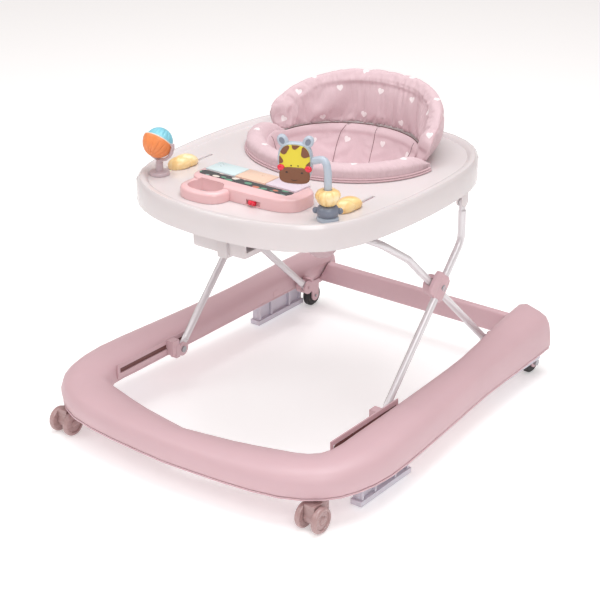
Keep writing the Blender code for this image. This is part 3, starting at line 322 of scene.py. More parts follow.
# ---- mesh helpers
def smoothing_group():
    """Geometry nodes that join split vertices and smooth all edges but the sharp ones."""
    tree = bpy.data.node_groups.new("smooth but for sharp edges", "GeometryNodeTree")
    tree.interface.new_socket("Geometry", in_out="INPUT", socket_type="NodeSocketGeometry")
    tree.interface.new_socket("Geometry", in_out="OUTPUT", socket_type="NodeSocketGeometry")
    add = tree.nodes.new
    start, end = add("NodeGroupInput"), add("NodeGroupOutput")
    weld = add("GeometryNodeMergeByDistance")
    weld.inputs["Distance"].default_value = 0.00001
    faces, edges = add("GeometryNodeSetShadeSmooth"), add("GeometryNodeSetShadeSmooth")
    edges.domain = "EDGE"
    angle = add("GeometryNodeInputMeshEdgeAngle")
    gentle = add("FunctionNodeCompare")
    gentle.operation = "LESS_EQUAL"
    gentle.inputs[1].default_value = radians(38)
    link = tree.links.new
    link(start.outputs[0], weld.inputs["Geometry"])
    link(weld.outputs[0], faces.inputs["Geometry"])
    link(faces.outputs[0], edges.inputs["Geometry"])
    link(angle.outputs["Unsigned Angle"], gentle.inputs[0])
    link(gentle.outputs[0], edges.inputs["Shade Smooth"])
    link(edges.outputs[0], end.inputs[0])
    return tree


SMOOTHING = smoothing_group()


def soften(obj):
    obj.modifiers.new("smooth shading", "NODES").node_group = SMOOTHING


def read_vectors(items, field):
    found = np.empty(len(items) * 3, np.float32)
    items.foreach_get(field, found)
    return found.reshape(-1, 3).astype(float)


def coordinates(obj):
    return read_vectors(obj.data.vertices, "co")


def normals(obj):
    return read_vectors(obj.data.vertex_normals, "vector")


def set_coordinates(obj, points):
    obj.data.vertices.foreach_set("co", np.asarray(points, np.float32).ravel())
    obj.data.update()


def surface_of(obj):
    """A tree of the object's faces, to find places on them."""
    faces = [tuple(f.vertices) for f in obj.data.polygons]
    return BVHTree.FromPolygons([tuple(p) for p in coordinates(obj)], faces)


def middle(name):
    """The middle of a CAD node's box."""
    low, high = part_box(name)
    return (low + high) / 2


def placed(at, turn=0.0, axis="Z"):
    return Matrix.Translation(at) @ Matrix.Rotation(radians(turn), 4, axis)


def turns(count):
    """The angles of count even steps round a circle."""
    return [2 * pi * k / count for k in range(count)]


def signed_power(value, power):
    return copysign(abs(value) ** power, value)


def soft_step(value, low, high):
    """0 below low, 1 above high, and a soft step between them."""
    share = min(1.0, max(0.0, (value - low) / (high - low)))
    return share * share * (3 - 2 * share)


def wave(x, y, z):
    """Smooth noise from about -1 to 1."""
    return noise.noise(Vector((x, y, z)))


def outward(points, faces):
    """The same faces, wound so that a closed form's normals point out of it."""
    corners = np.array([tuple(p) for p in points], float)
    corners -= corners.mean(axis=0)
    volume = 0.0
    for face in faces:
        first = corners[face[0]]
        for b, c in zip(face[1:-1], face[2:]):
            volume += first.dot(np.cross(corners[b], corners[c]))
    return faces if volume > 0 else [tuple(reversed(f)) for f in faces]


def new_object(name, points, faces):
    mesh = bpy.data.meshes.new(name)
    mesh.from_pydata([tuple(p) for p in points], [], [tuple(f) for f in faces])
    mesh.update()
    obj = bpy.data.objects.new(name, mesh)
    SCENE.collection.objects.link(obj)
    return obj


def piece(name, points, faces, look, body, slot=None, at=None, softened=True):
    """A new closed form that rides on a body, in its look; the slot argument is not used."""
    obj = new_object(name, points, outward(points, faces))
    if at is not None:
        obj.matrix_world = at
    obj.data.materials.append(LOOKS[look])
    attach(obj, body)
    if softened:
        soften(obj)
    return obj


def lofted(rings, closed_rows=False, cap_ends=False):
    """Points and quads through rings of equal length; closed_rows joins the last ring to the first."""
    count, around = len(rings), len(rings[0])
    points = [tuple(p) for ring in rings for p in ring]
    faces = []
    for i in range(count if closed_rows else count - 1):
        a, b = i * around, (i + 1) % count * around
        for k in range(around):
            n = (k + 1) % around
            faces.append((a + k, a + n, b + n, b + k))
    if cap_ends:
        faces.append(tuple(reversed(range(around))))
        faces.append(tuple(range((count - 1) * around, count * around)))
    return points, faces


def solid(name, rings, look, body, slot=None, at=None):
    """A piece through rings, closed at both ends."""
    return piece(name, *lofted(rings, cap_ends=True), look, body, slot, at)


def turned(profile, steps):
    """A solid of revolution about Z from (radius, height) points."""
    rings = [[(r * cos(a), r * sin(a), z) for a in turns(steps)] for r, z in profile]
    return lofted(rings, cap_ends=True)


def circle(centre, side, up, radius, steps):
    """Points round a circle in the plane of side and up."""
    return [centre + side * (radius * cos(a)) + up * (radius * sin(a)) for a in turns(steps)]


def tube(name, points, radius, look, body, slot=None, closed=False, sides=10):
    """A round tube along points, as a mesh."""
    points = [Vector(p) for p in points]
    count = len(points)
    rings = []
    side = None
    for i, at in enumerate(points):
        if closed:
            ahead = points[(i + 1) % count] - points[i - 1]
        else:
            ahead = points[min(i + 1, count - 1)] - points[max(i - 1, 0)]
        ahead.normalize()
        if side is None:
            side = ahead.orthogonal().normalized()
        side = (side - ahead * side.dot(ahead)).normalized()
        rings.append(circle(at, side, ahead.cross(side), radius, sides))
    piece(name, *lofted(rings, closed_rows=closed, cap_ends=not closed), look, body, slot)


def apply_modifiers(obj):
    graph = bpy.context.evaluated_depsgraph_get()
    made = bpy.data.meshes.new_from_object(obj.evaluated_get(graph), depsgraph=graph)
    obj.modifiers.clear()
    obj.data = made


def refine(obj):
    """One level of subdivision, kept as the mesh."""
    step = obj.modifiers.new("finer", "SUBSURF")
    step.levels = 1
    step.render_levels = 1
    apply_modifiers(obj)


# ---- cloth
CLOTH_FRAMES = 20


def inflate(obj, held, pressure, slack, most, stiffness=12.0):
    """Blows the closed form up as cloth, with its seams held and a little spare cloth between them."""
    start = coordinates(obj)
    seams = obj.vertex_groups.new(name="seams")
    seams.add([int(i) for i in held], 1.0, "REPLACE")
    cloth = obj.modifiers.new("cloth", "CLOTH")
    settings = cloth.settings
    settings.quality = 6
    settings.mass = 0.25
    settings.air_damping = 4.0
    settings.tension_stiffness = stiffness
    settings.compression_stiffness = stiffness
    settings.shear_stiffness = stiffness / 2
    settings.bending_stiffness = 0.3
    settings.use_pressure = True
    settings.uniform_pressure_force = pressure
    settings.shrink_min = -slack
    settings.shrink_max = -slack
    settings.vertex_group_mass = "seams"
    settings.effector_weights.gravity = 0.0
    cloth.collision_settings.use_collision = False
    cloth.point_cache.frame_start = 1
    cloth.point_cache.frame_end = CLOTH_FRAMES
    for step in range(1, CLOTH_FRAMES + 1):
        SCENE.frame_set(step)
    moved = coordinates(obj.evaluated_get(bpy.context.evaluated_depsgraph_get())) - start
    length = np.linalg.norm(moved, axis=1, keepdims=True)
    moved *= np.minimum(1.0, most / np.maximum(length, 1e-9))
    obj.modifiers.remove(cloth)
    obj.vertex_groups.clear()
    SCENE.frame_set(1)
    set_coordinates(obj, start + moved)


def displace(obj, amount):
    """Moves each vertex along its normal by amount(point, normal), in metres."""
    points, facing = coordinates(obj), normals(obj)
    shift = np.array([amount(Vector(p), Vector(n)) for p, n in zip(points, facing)])
    set_coordinates(obj, points + facing * shift[:, None])


HEART_SIZE = 0.0053
HEART_CLOTH = 0.017
HEART_TILT = 28
GOLDEN = 0.618


def print_hearts(obj, spots):
    """Stores, at each vertex, where it lies in the nearest heart: across, up and how far, in heart sizes."""
    points, facing = coordinates(obj), normals(obj)
    place = np.full((len(points), 3), 9.0)
    nearest = np.full(len(points), 1e9)
    surface = surface_of(obj)
    for number, spot in enumerate(spots):
        at, normal, _, _ = surface.find_nearest(Vector(spot))
        tilt = radians(HEART_TILT * (2 * ((number * GOLDEN) % 1.0) - 1))
        turn = Matrix.Rotation(tilt, 3, normal)
        upward = turn @ (Vector((0, 0, 1)) - normal * normal.z)
        if upward.length < 1e-6:
            upward = turn @ Vector((0, 1, 0))
        upward.normalize()
        across = upward.cross(normal)
        offset = points - np.array(at)
        distance = np.linalg.norm(offset, axis=1)
        same_side = facing @ np.array(normal) > 0.25
        here = (distance < HEART_CLOTH) & same_side & (distance < nearest)
        place[here, 0] = offset[here] @ np.array(across) / HEART_SIZE
        place[here, 1] = offset[here] @ np.array(upward) / HEART_SIZE
        place[here, 2] = distance[here] / HEART_SIZE
        nearest[here] = distance[here]
    attribute = obj.data.attributes.new("print_place", "FLOAT_VECTOR", "POINT")
    attribute.data.foreach_set("vector", place.astype(np.float32).ravel())


# ---- seat
SEAT_CENTRE = middle("seat_ring_cushion")
BACK_REACH = radians(86)
BACK_HALF = (0.166, 0.158)
BACK_DEPTH = 0.027
BACK_FLOOR = BACK_BOX[0].z + 0.0005
BACK_DROP = 0.0505
BACK_FOOT_IN = 0.012
ROLL_DEPTH = 0.016
LINING_HALF = (0.1262, 0.1182)
CLOTH_GAP = 0.002
PIPING_RADIUS = 0.0014
WELT_RADIUS = 0.0016
BINDING_RADIUS = 0.0026


def round_seat(angle, half, z, inset=0.0):
    """A point on an ellipse about the seat's middle; angle 0 is the rear, and it turns towards +X."""
    x = sin(angle) * (half[0] - inset)
    y = SEAT_CENTRE.y + cos(angle) * (half[1] - inset)
    return Vector((x, y, z))


def seat_angle(point, half):
    return atan2(point.x / half[0], (point.y - SEAT_CENTRE.y) / half[1])


def padding(name, points, faces):
    return piece(name, points, faces, "pink_fabric", "tray_and_seat", softened=False)


def seam_tube(name, path, radius, look, sides=10, closed=False):
    tube(name, path, radius, look, "tray_and_seat", "pink_fabric", closed, sides)


def crease_below(share):
    """How far under the wall's top the seam of its roll runs; share is 0 at the rear and 1 at the ends."""
    return ROLL_DEPTH * (1.0 + 0.5 * max(0.0, share - 0.58) / 0.42)


def back_top(angle):
    return BACK_BOX[1].z - BACK_DROP * (abs(angle) / BACK_REACH) ** 2.6


def back_section(angle, around):
    """The back's cross-section at an angle, as points that go round it from its inner face."""
    share = abs(angle) / BACK_REACH
    past = max(0.0, (share - 0.93) / 0.07)
    close = sqrt(max(0.0, 1 - past**2)) * 0.9 + 0.1
    top = BACK_FLOOR + (back_top(angle) - BACK_FLOOR - CLOTH_GAP) * (0.5 + 0.5 * close)
    depth = BACK_DEPTH * (0.3 + 0.7 * close)
    crease = top - crease_below(share)
    section = []
    for turn in turns(around):
        inset = depth * (0.5 + 0.5 * signed_power(cos(turn), 0.75))
        rise = 0.5 + 0.5 * signed_power(sin(turn), 0.62)
        z = BACK_FLOOR + (top - BACK_FLOOR) * rise
        if cos(turn) > 0 and z < crease:
            inset *= 0.93 + 0.14 * (crease - z) / (crease - BACK_FLOOR)
        lean = BACK_FOOT_IN * (1 - min(1.0, rise * 1.05))
        section.append(round_seat(angle, BACK_HALF, z, lean + inset + CLOTH_GAP))
    return section


def back_gathers(point, normal):
    """The inner face's sewn crease under the roll, the gathers beside it and the pleats along its foot."""
    angle = seat_angle(point, BACK_HALF)
    share = abs(angle) / BACK_REACH
    away = Vector((point.x, point.y - SEAT_CENTRE.y, 0)).normalized()
    if away.dot(normal) >= 0.2 or share > 1:
        return 0.0
    above = point.z - back_top(angle) + crease_below(share)
    sewn = 0.35 + 0.65 * soft_step(angle, -0.5, 0.3)
    fold = exp(-((above / 0.002) ** 2)) * sewn
    near_crease = exp(above / 0.02) if above < 0 else exp(-above / 0.006)
    near_foot = exp((BACK_FLOOR - point.z) / 0.016)
    ripple = wave(angle * 21 + point.z * 25, point.z * 10, 3.1)
    ripple += 0.5 * wave(angle * 36 + point.z * 40, point.z * 12, 8.0)
    pleats = wave(angle * 19 - point.z * 90, point.z * 10, 1.7)
    pleats += 0.5 * wave(angle * 33 - point.z * 120, point.z * 14, 6.2)
    return -0.0022 * fold + 0.0036 * ripple * near_crease * sewn + 0.003 * pleats * near_foot


def back_hearts():
    """Where the back's hearts sit: two rows inside, one on top of the roll and two outside."""
    spots = []
    for z, start, step in ((0.4855, -67, 30), (0.4435, -83, 32.5)):
        for n in range(5):
            spots.append(round_seat(radians(start + step * n), BACK_HALF, z, 0.029))
    for n in range(5):
        angle = radians(-55 + 35 * n)
        spots.append(round_seat(angle, BACK_HALF, back_top(angle) + 0.004, 0.012))
    for z_share, start in ((0.35, -65), (0.8, -50)):
        for n in range(5):
            angle = radians(start + 27 * n)
            z = BACK_FLOOR + (back_top(angle) - BACK_FLOOR) * z_share
            spots.append(round_seat(angle, BACK_HALF, z, -0.002))
    return spots


def seat_back():
    """The padded wall behind the child: a stuffed roll along its top and ends, and a gathered inner face."""
    rows, around = 200, 36
    outer_column = around * 3 // 8
    angles = [BACK_REACH * (2 * i / rows - 1) for i in range(rows + 1)]
    rings = [back_section(angle, around) for angle in angles]
    obj = padding("seat_back_padding", *lofted(rings, cap_ends=True))
    seams = []
    for i, angle in enumerate(angles):
        crease = max(p.z for p in rings[i]) - crease_below(abs(angle) / BACK_REACH)
        for k, turn in enumerate(turns(around)):
            at = rings[i][k]
            on_crease = cos(turn) > 0 and abs(at.z - crease) < 0.0022
            if on_crease or k == outer_column or at.z < BACK_FLOOR + 0.0015:
                seams.append(i * around + k)
    inflate(obj, seams, pressure=5.0, slack=0.05, most=0.005)
    shaped = coordinates(obj)
    outer_row = [shaped[i * around + outer_column] for i in range(2, rows - 1)]
    refine(obj)
    displace(obj, back_gathers)
    obj.data.shade_smooth()
    print_hearts(obj, back_hearts())
    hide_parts("seat_back_cushion")
    # painted shade: a dark cloth tube in the crease where the back's foot meets the lining
    foot = [round_seat(radians(-82 + 164 * n / 80), LINING_HALF, BACK_FLOOR + 0.0002) for n in range(81)]
    seam_tube("seat_back_foot_painted_shade", foot, 0.0007, "seam_shade", sides=6)
    seam_tube("seat_back_piping", outer_row, PIPING_RADIUS, "pink_binding")


RING_HALF = (0.166, 0.146)
RING_WIDTH = (0.04, 0.034)
RING_REACH = radians(99)
RING_TAPER_FROM = radians(72)
RING_RISE = 0.0262
RING_FOOT = TRAY_TOP + 0.0012


def ring_gathers(point, _):
    """Soft ripples all over the ring, pleats at its outer seam and deeper ones at its ends."""
    if point.z < RING_FOOT + 0.002:
        return 0.0
    angle = seat_angle(point, RING_HALF)
    side = hypot(point.x / RING_HALF[0], (point.y - SEAT_CENTRE.y) / RING_HALF[1])
    ripple = wave(angle * 18, side * 9, 5.5)
    pleats = wave(angle * 36 + side * 20, side * 5, 2.2)
    pleats += 0.6 * wave(angle * 80 - side * 30, side * 6, 7.2)
    at_seam = exp(-abs(side - 0.99) / 0.07)
    at_ends = exp(-abs(abs(angle) - radians(88)) / 0.3)
    return 0.001 * ripple + 0.0012 * pleats * at_seam + 0.002 * pleats * at_ends


def seat_ring():
    """The padded band round the seat's front and sides, lying on the tray: a flat foot and a domed top."""
    rows, around = 120, 28
    rings = []
    for i in range(rows + 1):
        off_front = RING_REACH * (2 * i / rows - 1)
        past = max(0.0, (abs(off_front) - RING_TAPER_FROM) / (RING_REACH - RING_TAPER_FROM))
        fullness = 0.12 + 0.88 * max(0.0, 1 - past**1.8) ** 0.7
        ring = []
        for turn in turns(around):
            share = 0.5 - 0.5 * cos(turn)
            steepness = 0.55 if turn < pi / 2 else 0.9
            rise = max(0.0, sin(turn)) ** steepness
            squeeze = 0.5 + (share - 0.5) * (0.55 + 0.45 * fullness)
            half = [o - w * squeeze for o, w in zip(RING_HALF, RING_WIDTH)]
            z = RING_FOOT + RING_RISE * fullness * rise
            ring.append(round_seat(pi + off_front, half, z, 0.001))
        rings.append(ring)
    obj = padding("seat_ring_padding", *lofted(rings, cap_ends=True))
    seams = []
    for i, ring in enumerate(rings):
        for k, at in enumerate(ring):
            if k in (0, 1, around // 2) or at.z < RING_FOOT + 0.001 or i in (0, rows):
                seams.append(i * around + k)
    inflate(obj, seams, pressure=3.0, slack=0.05, most=0.0025)
    refine(obj)
    displace(obj, ring_gathers)
    obj.data.shade_smooth()
    heart_half = (RING_HALF[0] - 0.018, RING_HALF[1] - 0.016)
    spots = [round_seat(radians(108 + 34 * n), heart_half, TRAY_TOP + 0.03) for n in range(6)]
    print_hearts(obj, spots)
    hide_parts("seat_ring_cushion")
    for number, (out, z) in enumerate(((0.0000, 0.0054), (0.0014, 0.0022))):
        angles = [radians(88.5 + 183 * i / 100) for i in range(101)]
        path = [round_seat(angle, RING_HALF, TRAY_TOP + z, -out) for angle in angles]
        seam_tube(f"seat_ring_piping_{number + 1}", path, WELT_RADIUS, "pink_binding")


# The lining's levels run from 0 at its top edge, past the narrow throat, to 1 at the edge of its floor,
# and on to LAST_LEVEL in the middle of the floor
SLING_SEAMS = (-150, -110, -46, -6, 40, 75, 110, 150)
LEANING_SEAM = -46
LEAN = 15
THROAT_LEVEL = 0.14
LAST_LEVEL = 1.4
THROAT_HALF = (0.1225, 0.1085)
THROAT_Z = 0.417
FRONT_EDGE_HALF = (0.13, 0.1155)
FRONT_EDGE_Z = 0.4345
REAR_EDGE_Z = 0.4283
FLOOR_HALF = (0.0545, 0.0545)
FLOOR_Z = SLING_BOX[0].z + 0.003
LEG_HOLE_RADIUS = 0.0285


def between(start, end, share):
    return [a + (b - a) * share for a, b in zip(start, end)]


def sling_point(angle, level):
    rear = soft_step(cos(angle), -0.2, 0.1)
    edge_half = between(FRONT_EDGE_HALF, LINING_HALF, rear)
    edge_z = FRONT_EDGE_Z + (REAR_EDGE_Z - FRONT_EDGE_Z) * rear
    if level < THROAT_LEVEL:
        f = level / THROAT_LEVEL
        half = between(edge_half, THROAT_HALF, f * (2 - f))
        return round_seat(angle, half, edge_z + (THROAT_Z - edge_z) * f)
    f = min(1.0, (level - THROAT_LEVEL) / (1 - THROAT_LEVEL))
    half = between(THROAT_HALF, FLOOR_HALF, f**1.15)
    if level > 1:
        half = between(half, (0.0, 0.0), (level - 1) / (LAST_LEVEL - 1) * 0.98)
    return round_seat(angle, half, THROAT_Z + (FLOOR_Z - THROAT_Z) * f)


def quilting(point, _):
    """The lining's raised seams, the puckers beside them and broad soft folds lower down."""
    depth = min(1.0, max(0.0, (0.4325 - point.z) / 0.06))
    angle = degrees(atan2(point.x, point.y - SEAT_CENTRE.y))
    leaning = angle + LEAN * (depth - 1) * (1 if -60 < angle < -20 else 0)
    across = min(abs((leaning - a + 180) % 360 - 180) for a in SLING_SEAMS)
    seam = exp(-((across / 1.1) ** 2))
    ripple = wave(angle / 7, point.z * 14, 4.0)
    ripple += 0.6 * wave(angle / 3, point.z * 40, 9.0)
    folds = wave(angle / 16 + point.z * 30, point.z * 20, 2.4)
    return 0.0014 * seam + 0.0011 * ripple * exp(-across / 5) + 0.001 * folds * depth


def leg_hole(lining, surface, side, sign):
    """Cuts a leg's hole through the lining, and binds its rim."""
    start = Vector((sign * 0.042, SEAT_CENTRE.y - 0.01, 0.35))
    end = Vector((sign * 0.085, SEAT_CENTRE.y - 0.18, 0.34))
    ahead = (end - start).normalized()
    across = ahead.cross(Vector((0, 0, 1))).normalized()
    up = across.cross(ahead)
    rings = [circle(at, across, up, LEG_HOLE_RADIUS, 48) for at in (start, end)]
    rim = []
    for at in rings[0]:
        hit = surface.ray_cast(at, ahead, 0.2)[0]
        rim.append((hit or at + ahead * 0.05) + ahead * 0.0012)
    cutter = new_object(f"leg_cutter_{side}", *lofted(rings, cap_ends=True))
    opening = lining.modifiers.new("leg hole", "BOOLEAN")
    opening.operation = "DIFFERENCE"
    opening.object = cutter
    apply_modifiers(lining)
    bpy.data.objects.remove(cutter)
    seam_tube(f"leg_hole_binding_{side}", rim, BINDING_RADIUS, "pink_binding", closed=True)


def towards_middle(at, rise=0.0):
    return (Vector((0, SEAT_CENTRE.y, at.z + rise)) - at).normalized()


def seat_sling():
    """The quilted lining that hangs through the tray: sewn panels, with a bound hole for each leg."""
    rows, levels = 120, 34
    heights = [LAST_LEVEL * j / levels for j in range(levels + 1)]
    points, faces = lofted([[sling_point(angle, level) for angle in turns(rows)] for level in heights])
    faces.append(tuple(reversed(range(levels * rows, (levels + 1) * rows))))
    obj = padding("seat_lining", points, faces)
    columns = {round((a % 360) / 360 * rows) % rows for a in SLING_SEAMS}
    held = []
    for j, level in enumerate(heights):
        edge = j in (0, 1, 2, 3, levels) or abs(level - 1) < 0.03
        held += [j * rows + i for i in range(rows) if edge or i in columns]
    inflate(obj, held, pressure=-1.0, slack=0.07, most=0.0014, stiffness=8.0)
    refine(obj)
    displace(obj, quilting)
    shell = obj.modifiers.new("thickness", "SOLIDIFY")
    shell.thickness = 0.0026
    shell.offset = 0.0
    apply_modifiers(obj)
    surface = surface_of(obj)
    for side, sign in SIDES:
        leg_hole(obj, surface, side, sign)
    obj.data.shade_smooth()
    spots = []
    for level, start, spread, count in ((0.24, -30, 33, 11), (0.56, -48, 36, 10), (0.85, -66, 45, 8)):
        for n in range(count):
            at = sling_point(radians(start + spread * n), level)
            spots.append(at + towards_middle(at) * 0.004)
    print_hearts(obj, spots)
    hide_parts("seat_sling")
    # painted shade: thin dark cloth tubes along the lining's raised seams
    for number, seam in enumerate(SLING_SEAMS):
        path = []
        for step in range(25):
            level = 0.02 + 0.96 * step / 24
            lean = LEAN * (1 - min(1.0, level * 1.7)) if seam == LEANING_SEAM else 0.0
            at = sling_point(radians(seam + lean), level)
            inward = towards_middle(at, 0.02)
            hit = surface.ray_cast(at + inward * 0.03, -inward, 0.06)[0]
            path.append((hit or at) + inward * 0.0001)
        seam_tube(f"lining_seam_shade_{number + 1}", path, 0.00045, "seam_shade", sides=6)


# ---- toys
GLOBE_TILT = -48
GLOBE_FLUTES = 16
GLOBE_SPLIT = 0.0008


def globe_half(name, look, node, sign, radius, at):
    """A fluted half ball with a plain lip at its split; sign is 1 for the upper half."""
    levels = 22
    rings = []
    for j in range(levels):
        rise = pi / 2 * j / (levels - 0.5)
        ring = []
        for a in turns(128):
            groove = abs(sin(GLOBE_FLUTES * a / 2)) ** 0.5
            fade = min(1.0, max(0.0, rise - 0.17) / 0.12) * min(1.0, (pi / 2 - rise) / 0.25)
            r = radius * (1 - 0.045 * (1 - groove) * fade)
            r *= 1.02 if rise < 0.15 else 1.0
            flat = r * cos(rise)
            ring.append((flat * cos(a), flat * sin(a), sign * (GLOBE_SPLIT + r * sin(rise))))
        rings.append(ring)
    rings.insert(0, [(p[0] * 0.5, p[1] * 0.5, sign * GLOBE_SPLIT) for p in rings[0]])
    obj = solid(name, rings, look, "globe_ball", at=at)
    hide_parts(node)


def globe():
    """A ball of two fluted halves with a cream band between, spinning in its fork."""
    low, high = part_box("globe_shell_orange")[0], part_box("globe_shell_blue")[1]
    centre = middle("globe_stand")
    centre.z = (low.z + high.z) / 2
    at = placed(centre, GLOBE_TILT, "X")
    globe_half("globe_half_blue", "blue_plastic", "globe_shell_blue", 1, 0.022, at)
    globe_half("globe_half_orange", "orange_plastic", "globe_shell_orange", -1, 0.0246, at)
    band = [
        (0.02, 0.0012), (0.0246, 0.0012), (0.0253, 0.0006),
        (0.0253, -0.0004), (0.0246, -0.001), (0.02, -0.001),
    ]
    piece("globe_band", *turned(band, 64), "cream_plastic", "globe_ball", "orange_plastic", at=at)


def superellipse(half_x, half_z, power, count=48, narrow=0.0):
    """Points (x, z) of a rounded outline; narrow draws in its lower end."""
    found = []
    for a in turns(count):
        x = half_x * signed_power(cos(a), 2 / power)
        z = half_z * signed_power(sin(a), 2 / power)
        found.append((x * (1 - narrow * max(0.0, -z / half_z)), z))
    return found


def plate(name, outline, front, back, look, at, body, slot, soft_edge=0.0006):
    """A flat piece in the XZ plane that faces -Y, with softened edges."""
    centre = Vector((sum(p[0] for p in outline) / len(outline), 0, sum(p[1] for p in outline) / len(outline)))
    rings = []
    edge = soft_edge
    for y, inset in ((back, edge), (back - edge, 0.0), (front + edge, 0.0), (front, edge)):
        ring = []
        for x, z in outline:
            inward = (centre - Vector((x, 0, z))).normalized() * inset
            ring.append((x + inward.x, y, z + inward.z))
        rings.append(ring)
    return solid(name, rings, look, body, slot, at=at)


def blob(name, centre, half, look, at, body, slot):
    """A pebble: a sphere drawn out to half in each direction."""
    profile = [(sin(pi * (j + 0.5) / 14), cos(pi * (j + 0.5) / 14)) for j in range(14)]
    points, faces = turned(profile, 28)
    points = [tuple(c + p * h for c, p, h in zip(centre, point, half)) for point in points]
    return piece(name, points, faces, look, body, slot, at=at)


FACE_HALF = (0.0232, 0.029)


def on_face(x, z):
    """The place itself, or the nearest one towards it on the face's edge."""
    reach = (abs(x) / FACE_HALF[0]) ** 3 + (abs(z) / FACE_HALF[1]) ** 3
    return (x, z) if reach < 1 else (x / reach ** (1 / 3), z / reach ** (1 / 3))


def giraffe_face():
    """A giraffe's face of thin plates on a rounded back, with two small ears."""
    centre = middle("giraffe_head")
    at = placed((centre.x, centre.y, 0.498), 24)
    slot = "grey_blue_plastic"
    on_head = (at, "giraffe_head", slot)
    back = superellipse(0.0262, 0.0322, 3.0, narrow=0.1)
    head = plate("giraffe_head_back", back, -0.0052, 0.0052, slot, *on_head, 0.002)
    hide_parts("giraffe_head")
    face = superellipse(*FACE_HALF, 3.0, narrow=0.08)
    plate("giraffe_face", face, -0.0064, -0.0048, "face_yellow", *on_head)
    patches = (
        (-0.0165, 0.023, 0.008), (0.001, 0.029, 0.0062), (0.0175, 0.019, 0.0085),
        (-0.0235, 0.005, 0.006), (0.0235, -0.001, 0.006),
    )
    for number, (x, z, radius) in enumerate(patches):
        outline = []
        for a in turns(24):
            r = radius * (1 + 0.14 * sin(3 * a + number))
            outline.append(on_face(x + r * cos(a), z + r * sin(a)))
        plate(f"giraffe_patch_{number + 1}", outline, -0.007, -0.0062, "face_brown", *on_head, 0.0002)
    muzzle = [(x * 1.02, z - 0.0175) for x, z in superellipse(0.0225, 0.0125, 3.4)]
    plate("giraffe_muzzle", muzzle, -0.0082, -0.005, "face_brown", *on_head, 0.0012)
    features = (
        ("cheek", (0.0205, -0.0062, -0.0065), (0.0056, 0.003, 0.0052), "red_plastic"),
        ("eye", (0.0052, -0.0063, -0.0025), (0.0011, 0.0007, 0.0011), "dark"),
        ("nostril", (0.0115, -0.0081, -0.0125), (0.0019, 0.0006, 0.0012), "dark"),
    )
    ear = superellipse(0.0078, 0.01, 2.2)
    for tag, sign in (("a", -1), ("b", 1)):
        for feature, (x, y, z), half, look in features:
            blob(f"giraffe_{feature}_{tag}", (sign * x, y, z), half, look, *on_head)
        on_ear = (at @ placed((sign * 0.019, 0.0, 0.033), sign * 28, "Y"), "giraffe_head", slot)
        plate(f"giraffe_ear_{tag}", ear, -0.004, 0.004, slot, *on_ear, 0.0024)
        hollow = (0.0046, 0.0008, 0.0062)
        blob(f"giraffe_ear_hollow_{tag}", (0, -0.0036, 0.001), hollow, "slate_plastic", *on_ear)
    smile = []
    for t in (-1, -0.5, 0, 0.5, 1):
        smile.append(at @ Vector((0.0045 * t, -0.0083, -0.0235 - 0.0014 * (1 - t * t))))
    tube("giraffe_smile", smile, 0.0004, "dark", "giraffe_head", slot)


def giraffe_beads():
    """Under the giraffe: a scalloped bead that spins, over a bead with two small ears."""
    centre = middle("giraffe_bead")
    axis = placed((centre.x, centre.y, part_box("giraffe_bead")[0].z))
    bore = 0.0066
    profile = (
        (bore, 0.0236), (0.012, 0.0232), (0.0172, 0.02), (0.019, 0.016), (0.0186, 0.012),
        (0.0165, 0.008), (0.015, 0.0045), (0.0125, 0.0015), (0.01, 0.0), (bore, 0.0),
    )
    rings = []
    for radius, z in profile:
        ring = []
        for a in turns(96):
            r = radius * (1 - 0.13 * (1 - abs(cos(4 * a)) ** 0.6) * min(1.0, (radius - bore) / 0.008))
            ring.append((r * cos(a), r * sin(a), z))
        rings.append(ring)
    bead = piece("giraffe_bead_lobed", *lofted(rings + rings[:1]), "yellow_plastic", "giraffe_bead", at=axis)
    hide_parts("giraffe_bead")
    ball = [
        (0.0061, 0.0229), (0.0108, 0.0227), (0.0138, 0.0212), (0.0158, 0.0184), (0.0167, 0.015),
        (0.0169, 0.0122), (0.0162, 0.0092), (0.0152, 0.0071), (0.0145, 0.0064),
    ]
    points, faces = turned(ball, 56)
    low_at = placed((centre.x, centre.y, TRAY_TOP + 0.0003))
    piece("lower_bead", points, faces, "slate_plastic", "tray_and_seat", "grey_blue_plastic", at=low_at)
    ears_at = placed((centre.x, centre.y, TRAY_TOP + 0.0135), 30)
    for tag, sign in (("a", -1), ("b", 1)):
        blob(f"lower_bead_ear_{tag}", (sign * 0.0182, 0, 0.001), (0.0044, 0.0026, 0.0052), "slate_plastic",
             ears_at, "tray_and_seat", "grey_blue_plastic")


def sliding_toys():
    """Two lobed slugs of marbled plastic that slide in slots in the tray."""
    rows, half_length, half_width, height = 72, 0.0255, 0.0162, 0.0185
    for side, _ in SIDES:
        centre = middle(f"slider_toy_{side}")
        rings = []
        for i in range(rows + 1):
            f = -1 + 2 * i / rows
            lobes = 0.86 + 0.14 * abs(sin(pi * (f + 1) + 0.35)) ** 0.5
            swell = sqrt(max(0.0, 1 - abs(f) ** 2.6))
            wide = half_width * (0.1 + 0.9 * swell) * lobes
            tall = height * (0.12 + 0.88 * swell) * lobes
            ring = []
            for a in turns(40):
                rise = max(0.0, 0.35 + 0.65 * sin(a))
                y = centre.y + half_length * f + 0.006 * cos(a) * swell
                ring.append((centre.x + wide * cos(a), y, TRAY_TOP + 0.0004 + tall * rise))
            rings.append(ring)
        body = f"slider_toy_{side}"
        obj = solid(f"slider_toy_shape_{side}", rings, "yellow_plastic", body)
        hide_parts(f"slider_toy_{side}")


def half_turn(centre, radius, count):
    """Points (across, up) of a half circle that runs from its top round its low side to its bottom."""
    angles = [pi / 2 + pi * k / (count - 1) for k in range(count)]
    return [(centre[0] + radius * cos(a), centre[1] + radius * sin(a)) for a in angles]


